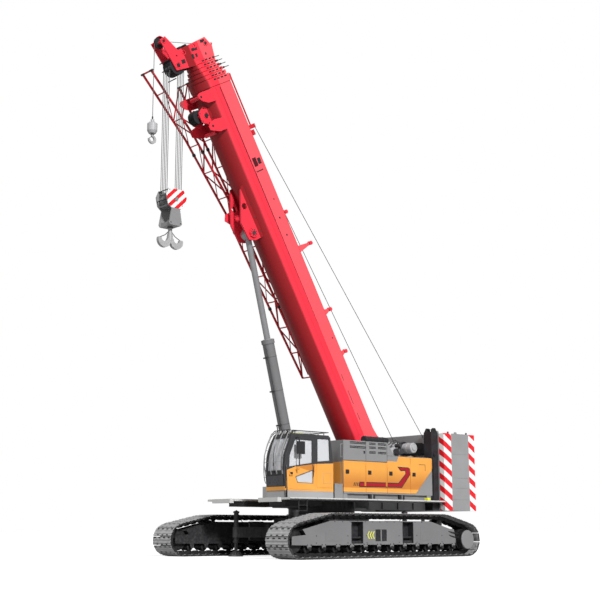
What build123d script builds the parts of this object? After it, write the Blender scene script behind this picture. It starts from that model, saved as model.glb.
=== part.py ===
"""Telescopic crawler crane: tracks, slewing upper, six-section boom, stowed jib and two hooks.

Millimetres. The crane faces -Y, +X is its left side (cab side), +Z is up, and the
origin is on the ground under the slewing axis.
"""
from build123d import *
from math import atan2, cos, degrees, hypot, pi, radians, sin
import os

os.makedirs("parts", exist_ok=True)

# Undercarriage
TRACK_OUTER = 3620  # half the width over the tracks
SHOE_WIDTH = 1100
SHOE_PITCH = 298
SHOE_GAP = 22
SHOE_THICK = 75
LINK_DEPTH = 120  # links under the shoes
LINK_WIDTH = 420
LINK_SINK = 20  # links run this far into the shoes
SHOE_SKIN = 40
TRACK_FRONT = -4750
TRACK_REAR = 4350
TRACK_HEIGHT = 1445
WHEEL_WRAP = 575  # shoe face radius round idler and sprocket
CROWN_WRAP = 330  # shoe face radius round the top corners
CROWN_FRONT = -2800
CROWN_REAR = 2570
FRAME_HALF = 330
FRAME_PLATE = 40
FRAME_BOTTOM = 430
FRAME_TOP = 1195
FRAME_FILL = 40  # side plates stand this far past the box between them
FRAME_OPENINGS = ((-1555, 510), (835, 510))  # centre and length of each opening along the frame
OPENING_LOW = 470
OPENING_HIGH = 1170
OPENING_DEPTH = 240
GRILLE_Y = (-720, -190)
GRILLE_Z = (540, 920)
GRILLE_DEPTH = 30
GRILLE_SLATS = 6
ROLLER_RADIUS = 125
ROLLER_HALF = 200
ROLLER_COUNT = 12
ROLLER_FIRST = -3650
ROLLER_LAST = 3150
BRACKET_TOP = 110  # half width of a roller bracket at the frame
BRACKET_FOOT = 45
IDLER_HUB = 130
SPROCKET_COVER = 340
COVER_REACH = 420
HUB_RADIUS = 150
HUB_RISE = 35
LOOP_STEPS = 12  # chords round each arc of the links
SEAT = 0.3  # gap between a seated piece and the moving or curved face beside it

# Carbody and jacks
CARBODY_HALF_X = 1250
CARBODY_HALF_Y = 1350
CARBODY_BOTTOM = 480
CARBODY_TOP = 1430
CARBODY_STEP = 120  # the round seat stands this far above the box
CARBODY_CORNER = 220
BEAM_BOTTOM = 560
BEAM_TOP = 1180
BEAM_LENGTH = 620
JACK_PIVOT = (1080, 1560)
JACK_ARM = 1160
JACK_ANGLE = 26  # arm direction, outwards from straight ahead
JACK_ARM_LOW = 645
JACK_ARM_HEIGHT = 360
JACK_ARM_WIDTH = 220
JACK_LUG = 80  # thickness of the ears that hold an arm
JACK_LUG_RADIUS = 150
JACK_LUG_GAP = 5
JACK_PIN_RADIUS = 60
JACK_TUBE_RADIUS = 85
JACK_COLLAR = 25
JACK_ROD_RADIUS = 60
JACK_TUBE_BOTTOM = 470
JACK_TUBE_TOP = 1545
JACK_CAP = 60
JACK_FOOT_RADIUS = 260
JACK_FOOT_RIM = 40
JACK_FOOT_NECK = 110
JACK_FOOT_HEIGHT = 180
JACK_ROD_TOP = 1150

# Slewing ring and upper frame
RING_RADIUS = 1180
RING_WIDTH = 220
RING_BOTTOM = CARBODY_TOP
RING_TOP = 1640
RING_RIBS = 40
RIB_DEPTH = 30
RIB_WIDTH = 24
FRAME_FLOOR = 1660
FLOOR_PLATE = 60
DECK_TOP = 1950
DECK_THICK = 70
DECK_HALF = 2200
DECK_FRONT = -3400
DECK_REAR = 4150
STEP_FRONT = 150  # depth of the folded step under the cab's front
STEP_THICK = 140
STEP_X = (760, 1750)
FRAME_FRONT = -1700
FRAME_REAR = 4120
SIDE_PLATE_IN = 620
SIDE_PLATE_OUT = 700
UNDERDECK_X = 1500  # outer face of the underdeck frame
UNDERDECK_WIDTH = 120
UNDERDECK_LOW = 1700
UNDERDECK_DEEP = 1605
UNDERDECK_FRONT = -3000
UNDERDECK_TURN = -1380
REAR_FRAME_FRONT = 880

# Boom
BOOM_ANGLE = 59.75
BOOM_PIVOT = (2530, 3800)  # y, z
BOOM_PIN_RADIUS = 110
PIN_CLEAR = 0.5
BOOM_WIDTH = 1020
BOOM_DEPTH = 1300
BOOM_TOP_RISE = 60  # top plate above the pivot line
BOOM_FOOT = 900  # start of the box section, measured along the boom from the pivot
BOOM_BASE_END = 14810
SECTION_COUNT = 6
SECTION_STEP = 44  # wall, pad and gap between one section and the next, each side
SECTION_WALL = 14
SECTION_START = 120  # each section starts this much further out
COLLAR_STEP = 150
COLLAR_RISE = 30
COLLAR_LENGTH = 120
BASE_COLLAR = 260
PAD_LENGTH = 100  # wear pads inside each collar
SEAM_RISE = -470  # weld seam along the side of the base section
SEAM_SIZE = 20
SEAM_PROUD = 6
FOOT_CHEEK = 60
FOOT_RADIUS = 230
FOOT_CLEAR = 5
ROPE_LUGS = ((3900, 420), (5560, 500), (8070, 850), (9500, 300))  # along, height above the top plate
ROPE_LUG_X = 300
ROPE_LUG_HALF = 25
ROPE_LUG_BASE = 150
ROPE_LUG_TIP = 70

# Luffing cylinder
ROD_EYE = (9354, -1531)  # along the boom and below the pivot line
CYL_FOOT = (-1175, 2200)  # y, z
BARREL_RADIUS = 210
BARREL_COLLAR = 25
BARREL_COLLAR_LENGTH = 150
BARREL_BORE = 150
BARREL_END_WALL = 80
GLAND_LENGTH = 110
ROD_RADIUS = 110
EYE_RADIUS = 190
EYE_WIDTH = 260
EYE_CLEAR = 5
CHEEK_PLATE = 70
BRACKET_IN = 245  # inner faces of the luffing bracket's cheeks
FOOT_OUTLINE = ((-190, -150), (-60, 230), (BOOM_FOOT, BOOM_TOP_RISE), (BOOM_FOOT, -1150), (650, -1050), (0, -230))
BRACKET_OUTLINE = ((9080, -1000), (11050, -1000), (11000, -1240), (9850, -1850), (9200, -1800), (9080, ROD_EYE[1]))
STORAGE_OUTLINE = ((9600, -700), (10300, -700), (10280, -1700), (10080, -1830), (9700, -1500))
BRACKET_HOLE = (10330, -1420)
BRACKET_HOLE_RADIUS = 130
EYE_BOSS = 160
EYE_BOSS_RISE = 60
EYE_BOSS_RIBS = 10
CYL_PIN_RADIUS = 90
BARREL_LENGTH = 5440
NECK_LENGTH = 400
ROD_LENGTH = 5110  # from the rod eye into the barrel

# Head, guide sheaves and hooks
MAIN_SHEAVE = (15630, -1690)
NOSE_SHEAVE = (16554, -1886)
TOP_SHEAVE = (16040, -160)
SHEAVE_RADIUS = 310
SHEAVE_RIM = 30
SHEAVE_HALF = 30
SHEAVE_PITCH = 90
SHEAVE_SLOTS = (-2, -1, 0, 1, 2)
NOSE_RADIUS = 200
TOP_RADIUS = 180
MAIN_PIN = 70
SMALL_PIN = 50
HEAD_PLATE = 40
HEAD_INSET = 60
JIB_PINS = ((16080, -700), (15980, -1250))  # cross bores for a jib, along and rise
JIB_PIN_RADIUS = 45
HEAD_REACH = (-140, -1000)  # start of the head plates from the last section's end, and their depth there
HEAD_BROW = ((340, 100), (700, -80), (560, -1450))  # along from the section's end, and rise
HEAD_NOSE = ((130, 130), (80, -140))  # from the nose sheave's axis
HEAD_CHIN = ((250, -200), (-150, -150))  # from the main sheaves' axis
GUIDE_PLATE = (13710, -1410)  # centre of the hexagonal plates under the base section
GUIDE_RADIUS = 330
GUIDE_SHEAVE = (13760, -1640)
GUIDE_SHEAVE_RADIUS = 240
GUIDE_SLOTS = (-1.5, -0.5, 0.5, 1.5)  # between the falls, which pass them when the boom stands steep
GUIDE_HALF = 25
GUIDE_LUGS = ((14360, -1300), (13060, -1300))
ROPE_RADIUS = 11
BLOCK_DROP = 4750
BLOCK_BOTTOM = 900  # below the block's sheave pin
BLOCK_CHEEK = (270, 310)
BLOCK_FLOOR = 140
HOOK_SHANK = 70
HOOK_NUT = 110
HORN_HALF = 60
HORN_SPREAD = 245
HORN_RADIUS = 250
HORN_THROAT = 125
HORN_DROP = 1380  # centre of the horns below the block's sheave pin
HORN_TIP = 70
BALL_DROP = 2780
BALL_RADIUS = 170
BALL_HEIGHT = 490
BALL_STEM = 40
BALL_BORE = 100
CLAW_RADIUS = 150
CLAW_THROAT = 80
CLAW_HALF = 32

# Upper bodies
HOUSE_OUTER = DECK_HALF - 300
HOUSE_INNER = HOUSE_OUTER - 1100
HOUSE_FRONT = -720
HOUSE_REAR = 3770
HOUSE_BOTTOM = 2130
HOUSE_TOP = 3500
HOOD_TOP = 3950
HOOD_REAR = 1450
HOOD_FOOT = 1790
HOUSE_WALL = 50
HOUSE_FEET = (HOUSE_FRONT, 620, 2120, 3500)
HOUSE_FOOT_LENGTH = 200
DOOR_THICK = 50
DOOR_GAP = 8
DOOR_LOW = 2180
LOW_DOOR_TOP = 3250
DOOR_SEAMS = (-720, 360, 1420, 2620, 3770)
REAR_DOOR_CORNER = (2900, 3040)  # y at the foot and z at the rear of the slanted edge
LATCH_SIZE = (140, 80, 15)
LATCH_Z = 2870
LATCH_INSET = 110
HINGE_RADIUS = 8
HINGE_HEIGHT = 160
HINGE_LEAF = 70
DOOR_HINGES = (2400, 3080)
REAR_HINGES = (3120, 3300)
LOUVRES = (  # y from, y to, z of each slot
    (-410, 370, (3875, 3725)),
    (530, 860, (3875, 3740, 3570)),
    (970, 1390, (3875, 3740, 3570)),
)
LOUVRE_HEIGHT = 75
LOUVRE_DEPTH = 30
CAB_OUTER = HOUSE_OUTER
CAB_INNER = CAB_OUTER - 950
CAB_BOTTOM = 2170
CAB_TOP = 4050
CAB_WALL = 60
CAB_GAP = 5
GLASS_INSET = 26
GLASS_THICK = 8
MIRROR_Y = (-2990, -2670)
MIRROR_Z = (3360, 3780)
MIRROR_OUT = 150
GUARD_BARS = 4
GUARD_HALF = 14
TOOLBOX_Y = (-1150, -760)
TOOLBOX_X = (1500, 1900)
TOOLBOX_TOP = 2440
CW_HALF = DECK_HALF
CW_FRONT = 4165
CW_REAR = 5900
CW_LEVELS = (1600, 2010, 2420, 2800, 3670, 4430)
CW_CORNER = 40
CW_SEAM = 10
POST_X = (1500, 1870)
POST_Y = (3810, CW_FRONT)
POST_Z = (1600, 4470)
POST_EAR = 150
POST_BOSS = 90
BEAM_Z = (3660, 4120)
MUFFLER_RADIUS = 125
MUFFLER_CENTRE = (1200, 4080)  # x, z
MUFFLER_Y = (940, 2120)
MUFFLER_MOUTH = 95
WINCHES = (("main_winch_drum", 3480, 3890), ("second_winch_drum", 3300, 2700))
DRUM_HALF = 400
DRUM_RADIUS = 175
DRUM_FLANGE = 265
FLANGE_THICK = 40
DRUM_AXLE = 90
WOUND_ROPE = 225

# Fits and seats of single pieces
RUN_IN = 20  # how far a piece runs into the one that carries it
FRAME_NOSE = 320  # front of the track frame ahead of the idler's axis
FRAME_NOSE_TOP = 790
FRAME_CROWN = (80, 620)  # the frame's top starts and ends this far behind and ahead of the crown rollers
FRAME_TAIL = ((2950, 950), (3180, 930), (3270, 540), (3230, FRAME_BOTTOM))
ROLLER_CLEAR = 15
IDLER_CLEAR = 40
IDLER_ARM = ((-200, -130), (-200, 130), (520, 190), (520, -145))  # y and z from the idler's axis
JACK_LUG_ROOT = 300
GEARBOX_LENGTH = 350
PIN_BOSS = 30
FRONT_PLATE = (-480, 1880, 1940)  # rear end, underside and top of the front frame's cover
FRONT_WALL = 40
REAR_WALL = 80
REAR_RAIL = 3640
SIDE_PLATE_RISE = ((FRAME_FRONT, 2150), (-1450, 2750), (-900, 2900), (1500, 3560), (2050, 4110), (2950, 4110),
                   (3080, REAR_RAIL))
WINCH_CRADLE = (90, 150, 120, 180)  # half width at the top, reach forward, rise and reach back from the drum axis
FOOT_CHEEK_OUTLINE = (  # y from the cylinder's foot pin, and z
    (-225, 1900), (-165, CYL_FOOT[1]), (-105, CYL_FOOT[1] + 130), (105, CYL_FOOT[1] + 130), (165, CYL_FOOT[1]),
    (425, 1900),
)
DECK_SEAT = 10
EAR_THICK = 60
BEAM_THICK = 40
CW_LUG = (300, 400)  # lifting lugs behind the front face and ahead of the rear face
CW_LUG_HALF = (90, 50)
CW_LUG_RISE = 130
CW_LUG_X = (CW_HALF - 640, CW_HALF - 600)
JIB_CLAMP = (120, 50)  # length and half height of the brackets that hold the stowed jib
JIB_LACE = 36
JIB_CROSS = 20
BLOCK_PIN_END = 25
BLOCK_FLOOR_HALF = 200
BLOCK_BAR = (240, 210, 25)  # either side of and below the sheave pin, and radius
CHEEK_OUTLINE = (  # y and z from the sheave pin
    (-400, 100), (-300, 340), (300, 340), (430, 100), (330, -200), (170, -340), (260, 60 - BLOCK_BOTTOM),
    (BLOCK_FLOOR_HALF, -BLOCK_BOTTOM), (-BLOCK_FLOOR_HALF, -BLOCK_BOTTOM), (-260, 60 - BLOCK_BOTTOM), (-170, -340),
    (-330, -200),
)
ENGINE_FOOT = (100, 100)  # inset and length of the feet
HEAD_START = 150
HEAD_PITCH = 300
HEAD_INSET_X = 200
HEAD_LENGTH = 220
HEAD_HEIGHT = 160
FAN_Z = 2750
FAN_RADIUS = 330
FAN_DEPTH = 90
MUFFLER_BORE = 300
MUFFLER_FEET = (120, 400)
MUFFLER_FOOT_HALF = 60
MUFFLER_FOOT_LENGTH = 70
FRONT_CUT_Y = (-3500, -2960)
REAR_PANE_Y = (-1440, -1190)
REAR_PANE_Z = (3150, 3850)
REAR_PANE = [(-1271, REAR_PANE_Z[0]), (-1338, REAR_PANE_Z[1])]
CAB_BASE_INSET = 30
CAB_BASE_Y = (-3250, -1230)
HATCH_INSET = 250
HATCH_Y = (-2750, -2250)
HATCH_RISE = 30
HANDLE_PROUD = 40
HANDLE_Y = (-3190, -3040)
HANDLE_Z = (2660, 2800)
MIRROR_THICK = 60
MIRROR_BAR = 30
MIRROR_BAR_Y = (-2905, -2875)
MIRROR_ARMS = (3895, 2850)
SEAT_CUSHION = ((-2500, -2020), (2560, 2700))
SEAT_BACK = [(-2080, 2690), (-1930, 2690), (-1830, 3420), (-1950, 3430)]
SEAT_HEAD = [(-1960, 3400), (-1840, 3400), (-1810, 3600), (-1910, 3610)]
SEAT_HEAD_INSET = 90
SEAT_FOOT_INSET = 80
SEAT_FOOT_Y = (-2400, -2100)
SEAT_FOOT_TOP = 2570
CONSOLE_WIDTH = 110
CONSOLE = ((-2520, -2060), (2690, 2830))
CONSOLE_FOOT_TOP = 2700
LEVER_Y = -2450
LEVER = (16, 2830, 3010)  # radius, bottom and top
LEVER_KNOB = (28, 3000, 3060)
GUARD_INSET = 50
GUARD_TOP = 4150
GUARD_FEET = (-2900, -1600)
GUARD_CROSS = (-3508, 3100)
GUARD_LINE = [(-3408, 2700), (-3408 - 2 * GUARD_HALF, 2700), (-3520, 3000), (-3500, 3330), (-3380, 3700),
              (-3190, 4070), (-3050, GUARD_TOP), (-1500, GUARD_TOP), (-1500, GUARD_TOP - GUARD_HALF),
              (-3045, GUARD_TOP - GUARD_HALF), (-3170, 4055), (-3355, 3690), (-3475, 3325), (-3495, 3000)]

# Track loop, jib, engine and cab outlines
IDLER = (TRACK_FRONT + WHEEL_WRAP, WHEEL_WRAP)
SPROCKET = (TRACK_REAR - WHEEL_WRAP, WHEEL_WRAP)
WRAPS = (  # y, z, radius, going round from the idler over the top
    (IDLER[0], IDLER[1], WHEEL_WRAP),
    (CROWN_FRONT, TRACK_HEIGHT - CROWN_WRAP, CROWN_WRAP),
    (CROWN_REAR, TRACK_HEIGHT - CROWN_WRAP, CROWN_WRAP),
    (SPROCKET[0], SPROCKET[1], WHEEL_WRAP),
)
JACKS = (("front_left", 1, -1), ("front_right", -1, -1), ("rear_left", 1, 1), ("rear_right", -1, 1))
JIB_X = (-1150, -640)
JIB_TUBE = 60
JIB_UPPER = ((3500, -420), (11030, -660), (15000, -860))  # along, rise
JIB_LOWER = ((3500, -760), (7560, -1010), (10150, -1110), (13210, -1530), (15840, -2160))
JIB_BAYS = 11
JIB_BRACKETS = (4600, 8700, 13000)
ENGINE_X = (-1700, -900)
ENGINE_Y = (-300, 1700)
ENGINE_Z = (2330, 3100)
CAB_SIDE = [(-3340, CAB_BOTTOM), (-3410, 2770), (-3350, 3330), (-3050, 4020), (-2960, CAB_TOP),
            (-1420, CAB_TOP), (-1330, 3980), (-1240, 3420), (-1200, 3120), (-1200, CAB_BOTTOM)]
CAB_DOOR = [(-3255, 2220), (-3325, 2770), (-3265, 3330), (-2980, 3970), (-2030, 3970), (-2030, 2220)]
DOOR_WINDOW = [(-3190, 2940), (-3170, 3320), (-2920, 3860), (-2170, 3860), (-2170, 3100)]
DOOR_LIGHT = [(-2900, 2630), (-2130, 2870), (-2130, 2430), (-2810, 2440)]
REAR_LIGHT = [(-1930, 3930), (-1400, 3930), (-1360, 3200), (-1930, 3150)]
RIGHT_LIGHT = [(-3190, 2940), (-2900, 3900), (-1400, 3930), (-1360, 3200)]
FRONT_GLASS = [(-3403, 2830), (-3350, 3330), (-3102, 3900)]
FRONT_GLASS_X = (CAB_INNER + 100, CAB_OUTER - 100)
CAB_HINGES = (2350, 3560)
LOUVRED_PANEL = ((-1960, -1260), (2300, 3080))
SEAT_X = (1180, 1640)


def side_plane(x):
    """Plane across the crane at x: its first axis is Y and its second is Z."""
    return Plane.YZ.offset(x)


def box(x_range, y_range, z_range, mode=Mode.ADD):
    """Box between two corners, added to the open part."""
    with BuildSketch(Plane.XY.offset(z_range[0])) as base:
        with Locations(((x_range[0] + x_range[1]) / 2, (y_range[0] + y_range[1]) / 2)):
            Rectangle(x_range[1] - x_range[0], y_range[1] - y_range[0])
    extrude(base.sketch, amount=z_range[1] - z_range[0], mode=mode)


def plate(points, x_low, x_high, mode=Mode.ADD, margin=0):
    """Plate with a (y, z) outline, pulled in by a margin, between two x values."""
    with BuildSketch(side_plane(x_low)) as outline:
        Polygon(*points, align=None)
        if margin:
            offset(amount=-margin, kind=Kind.INTERSECTION, mode=Mode.REPLACE)
    extrude(outline.sketch, amount=x_high - x_low, mode=mode)


def disc(x_low, x_high, centre, radius, mode=Mode.ADD):
    """Disc across the crane, centred on (y, z)."""
    with BuildSketch(side_plane(x_low)) as outline:
        with Locations(centre):
            Circle(radius)
    extrude(outline.sketch, amount=x_high - x_low, mode=mode)


def post(centre, radius, z_low, z_high, mode=Mode.ADD):
    """Upright round post, centred on (x, y)."""
    with BuildSketch(Plane.XY.offset(z_low)) as outline:
        with Locations(centre):
            Circle(radius)
    extrude(outline.sketch, amount=z_high - z_low, mode=mode)


def outward(side, near, far):
    """The two x values between near and far on one side of the middle, low one first."""
    return sorted((side * near, side * far))


def save(part, name):
    """Write one named piece."""
    part.label = name
    export_step(part, f"parts/{name}.step")


def mirrored(part, name):
    """The same piece on the other side of the crane."""
    save(part.mirror(Plane.YZ), name)


# Track outline

def loop_spans(inset):
    """Straight runs round the four wraps, as (start, end) points, inset from the shoe faces."""
    spans = []
    for first, second in zip(WRAPS, WRAPS[1:] + WRAPS[:1]):
        dy = second[0] - first[0]
        dz = second[1] - first[1]
        length = hypot(dy, dz)
        lean = atan2(dz, dy) + pi / 2
        swing = (first[2] - second[2]) / length
        normal = (cos(lean) * (1 - swing**2) ** 0.5 + cos(lean - pi / 2) * swing,
                  sin(lean) * (1 - swing**2) ** 0.5 + sin(lean - pi / 2) * swing)
        spans.append(tuple(
            (wrap[0] + normal[0] * (wrap[2] - inset), wrap[1] + normal[1] * (wrap[2] - inset))
            for wrap in (first, second)))
    return spans


def loop_points(inset, arc_steps):
    """Points round the loop, with each arc as a few chords."""
    spans = loop_spans(inset)
    points = []
    for index, wrap in enumerate(WRAPS):
        into = spans[index - 1][1]
        out = spans[index][0]
        start = atan2(into[1] - wrap[1], into[0] - wrap[0])
        turn = (start - atan2(out[1] - wrap[1], out[0] - wrap[0])) % (2 * pi)
        radius = wrap[2] - inset
        for step in range(arc_steps + 1):
            angle = start - turn * step / arc_steps
            points.append((wrap[0] + radius * cos(angle), wrap[1] + radius * sin(angle)))
    return points


def wrap_turn(index, inset):
    """Angle that the loop turns round one of its wraps."""
    spans = loop_spans(inset)
    wrap = WRAPS[index]
    into = spans[index - 1][1]
    out = spans[index][0]
    return (atan2(into[1] - wrap[1], into[0] - wrap[0]) - atan2(out[1] - wrap[1], out[0] - wrap[0])) % (2 * pi)


def wheel_in_wrap(index):
    """Largest wheel that the chords of the links leave room for in one wrap."""
    return (WRAPS[index][2] - link_inset) * cos(wrap_turn(index, link_inset) / 2 / LOOP_STEPS) - SEAT


def along(points, distance):
    """Point and direction at a distance round a closed line of points."""
    for first, second in zip(points, points[1:] + points[:1]):
        length = hypot(second[0] - first[0], second[1] - first[1])
        if distance <= length:
            direction = ((second[0] - first[0]) / length, (second[1] - first[1]) / length)
            return (first[0] + direction[0] * distance, first[1] + direction[1] * distance), direction
        distance -= length
    return points[0], direction


def shoe_outline():
    """Outer outline of the loop: flat shoes with a slot between each two."""
    path = loop_points(SHOE_THICK, 12)
    total = sum(hypot(b[0] - a[0], b[1] - a[1]) for a, b in zip(path, path[1:] + path[:1]))
    count = round(total / SHOE_PITCH)
    pitch = total / count
    outline = []
    for index in range(count):
        start, _ = along(path, index * pitch)
        end, _ = along(path, (index + 1) * pitch - 0.01)
        length = hypot(end[0] - start[0], end[1] - start[1])
        direction = ((end[0] - start[0]) / length, (end[1] - start[1]) / length)
        normal = (-direction[1], direction[0])
        for share, rise in ((SHOE_GAP / 2, 0), (SHOE_GAP / 2, SHOE_THICK),
                            (length - SHOE_GAP / 2, SHOE_THICK), (length - SHOE_GAP / 2, 0)):
            outline.append((start[0] + direction[0] * share + normal[0] * rise,
                            start[1] + direction[1] * share + normal[1] * rise))
    return outline


track_in = TRACK_OUTER - SHOE_WIDTH
track_mid = TRACK_OUTER - SHOE_WIDTH / 2
link_inset = SHOE_THICK + LINK_DEPTH
with BuildPart() as track_left:
    with BuildSketch(side_plane(track_in)):
        Polygon(*shoe_outline(), align=None)
        Polygon(*loop_points(SHOE_THICK + SHOE_SKIN, 8), align=None, mode=Mode.SUBTRACT)
    extrude(amount=SHOE_WIDTH)
    with BuildSketch(side_plane(track_mid - LINK_WIDTH / 2)):
        Polygon(*loop_points(SHOE_THICK + LINK_SINK, LOOP_STEPS), align=None)
        Polygon(*loop_points(link_inset, LOOP_STEPS), align=None, mode=Mode.SUBTRACT)
    extrude(amount=LINK_WIDTH)
save(track_left.part, "track_left")
mirrored(track_left.part, "track_right")

# Track frames, wheels and rollers


def frame_outline(margin):
    """Side outline of a track frame inside its loop."""
    front = IDLER[0] - FRAME_NOSE + margin
    return [(front, FRAME_BOTTOM + margin), (front, FRAME_NOSE_TOP - margin),
            (CROWN_FRONT + FRAME_CROWN[0], FRAME_TOP - margin), (CROWN_REAR - FRAME_CROWN[1], FRAME_TOP - margin),
            *((y - margin, z - margin if z > FRAME_BOTTOM else z + margin) for y, z in FRAME_TAIL[:2]),
            *((y - margin, z + margin) for y, z in FRAME_TAIL[2:])]


beam_end = track_mid - FRAME_HALF
roller_gap = (ROLLER_LAST - ROLLER_FIRST) / (ROLLER_COUNT - 1)
roller_height = link_inset + ROLLER_RADIUS + SEAT
roller_spots = [(ROLLER_FIRST + index * roller_gap, roller_height) for index in range(ROLLER_COUNT)]
crown_spots = [(crown, TRACK_HEIGHT - CROWN_WRAP) for crown in (CROWN_FRONT, CROWN_REAR)]
plate_in = FRAME_HALF - FRAME_PLATE
with BuildPart() as track_frame_left:
    for side in (-1, 1):
        near, far = outward(side, plate_in, FRAME_HALF)
        plate(frame_outline(0), track_mid + near, track_mid + far)
        for y, z in roller_spots:
            plate([(y - BRACKET_TOP, FRAME_BOTTOM + FRAME_FILL), (y - BRACKET_FOOT, z - BRACKET_FOOT),
                   (y + BRACKET_FOOT, z - BRACKET_FOOT), (y + BRACKET_TOP, FRAME_BOTTOM + FRAME_FILL)],
                  track_mid + near, track_mid + far)
    plate(frame_outline(FRAME_FILL), track_mid - FRAME_HALF, track_mid + FRAME_HALF)
    for middle, length in FRAME_OPENINGS:
        box((track_mid + FRAME_HALF - OPENING_DEPTH, track_mid + FRAME_HALF),
            (middle - length / 2, middle + length / 2), (OPENING_LOW, OPENING_HIGH), mode=Mode.SUBTRACT)
    box((track_mid + FRAME_HALF - GRILLE_DEPTH, track_mid + FRAME_HALF), GRILLE_Y, GRILLE_Z, mode=Mode.SUBTRACT)
    slat_gap = (GRILLE_Z[1] - GRILLE_Z[0]) / GRILLE_SLATS
    for index in range(GRILLE_SLATS):
        slat = GRILLE_Z[0] + (index + 0.25) * slat_gap
        box((track_mid + FRAME_HALF - GRILLE_DEPTH, track_mid + FRAME_HALF - SEAM_PROUD), GRILLE_Y,
            (slat, slat + slat_gap / 2))
    for spot in crown_spots:
        disc(track_mid - ROLLER_HALF - ROLLER_CLEAR, track_mid + ROLLER_HALF + ROLLER_CLEAR, spot,
             CROWN_WRAP - link_inset + RUN_IN, mode=Mode.SUBTRACT)
    disc(track_mid - FRAME_HALF, track_mid + FRAME_HALF, IDLER, wheel_in_wrap(0) + IDLER_CLEAR, mode=Mode.SUBTRACT)
    for side in (-1, 1):
        near, far = outward(side, plate_in, FRAME_HALF)
        plate([(IDLER[0] + y, IDLER[1] + z) for y, z in IDLER_ARM], track_mid + near, track_mid + far)
save(track_frame_left.part, "track_frame_left")
mirrored(track_frame_left.part, "track_frame_right")

wheel_half = plate_in - SEAT
with BuildPart() as track_wheels_left:
    disc(track_mid - wheel_half, track_mid + wheel_half, IDLER, IDLER_HUB)
    disc(track_mid - ROLLER_HALF + IDLER_CLEAR, track_mid + ROLLER_HALF - IDLER_CLEAR, IDLER, wheel_in_wrap(0))
    disc(track_mid - ROLLER_HALF, track_mid + ROLLER_HALF, SPROCKET, wheel_in_wrap(3))
    disc(track_mid - COVER_REACH, track_mid + COVER_REACH, SPROCKET, SPROCKET_COVER)
    disc(track_mid + COVER_REACH, track_mid + COVER_REACH + HUB_RISE, SPROCKET, HUB_RADIUS)
    for spot in roller_spots:
        disc(track_mid - ROLLER_HALF, track_mid + ROLLER_HALF, spot, ROLLER_RADIUS)
        disc(track_mid - wheel_half, track_mid + wheel_half, spot, BRACKET_FOOT)
    for index, spot in enumerate(crown_spots):
        disc(track_mid - ROLLER_HALF, track_mid + ROLLER_HALF, spot, wheel_in_wrap(index + 1))
save(track_wheels_left.part, "track_wheels_left")
mirrored(track_wheels_left.part, "track_wheels_right")

# Carbody with its cross beams, and the slewing ring

with BuildPart() as carbody:
    with BuildSketch(Plane.XY.offset(CARBODY_BOTTOM)) as base:
        Rectangle(2 * CARBODY_HALF_X, 2 * CARBODY_HALF_Y)
        chamfer(base.vertices(), CARBODY_CORNER)
    extrude(amount=CARBODY_TOP - CARBODY_STEP - CARBODY_BOTTOM)
    post((0, 0), RING_RADIUS, CARBODY_BOTTOM, CARBODY_TOP)
    for side in (-1, 1):
        for end in (-1, 1):
            middle = end * (CARBODY_HALF_Y - CARBODY_CORNER - BEAM_LENGTH / 2)
            box(outward(side, CARBODY_HALF_X - RUN_IN, beam_end),
                (middle - BEAM_LENGTH / 2, middle + BEAM_LENGTH / 2), (BEAM_BOTTOM, BEAM_TOP))
            for low in (JACK_ARM_LOW - JACK_LUG_GAP - JACK_LUG, JACK_ARM_LOW + JACK_ARM_HEIGHT + JACK_LUG_GAP):
                box(outward(side, JACK_PIVOT[0] - JACK_LUG_RADIUS, JACK_PIVOT[0] + JACK_LUG_RADIUS),
                    outward(end, CARBODY_HALF_Y - JACK_LUG_ROOT, JACK_PIVOT[1] - RUN_IN / 2), (low, low + JACK_LUG))
                post((side * JACK_PIVOT[0], end * JACK_PIVOT[1]), JACK_LUG_RADIUS, low, low + JACK_LUG)
            post((side * JACK_PIVOT[0], end * JACK_PIVOT[1]), JACK_PIN_RADIUS, JACK_ARM_LOW - RUN_IN,
                 JACK_ARM_LOW + JACK_ARM_HEIGHT + RUN_IN)
save(carbody.part, "carbody")

with BuildPart() as slew_ring:
    post((0, 0), RING_RADIUS, RING_BOTTOM, RING_TOP)
    post((0, 0), RING_RADIUS - RING_WIDTH, RING_BOTTOM, RING_TOP, mode=Mode.SUBTRACT)
save(slew_ring.part, "slew_ring")

# Jacks: four arms on vertical pins, each with a leg and a round foot

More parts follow.
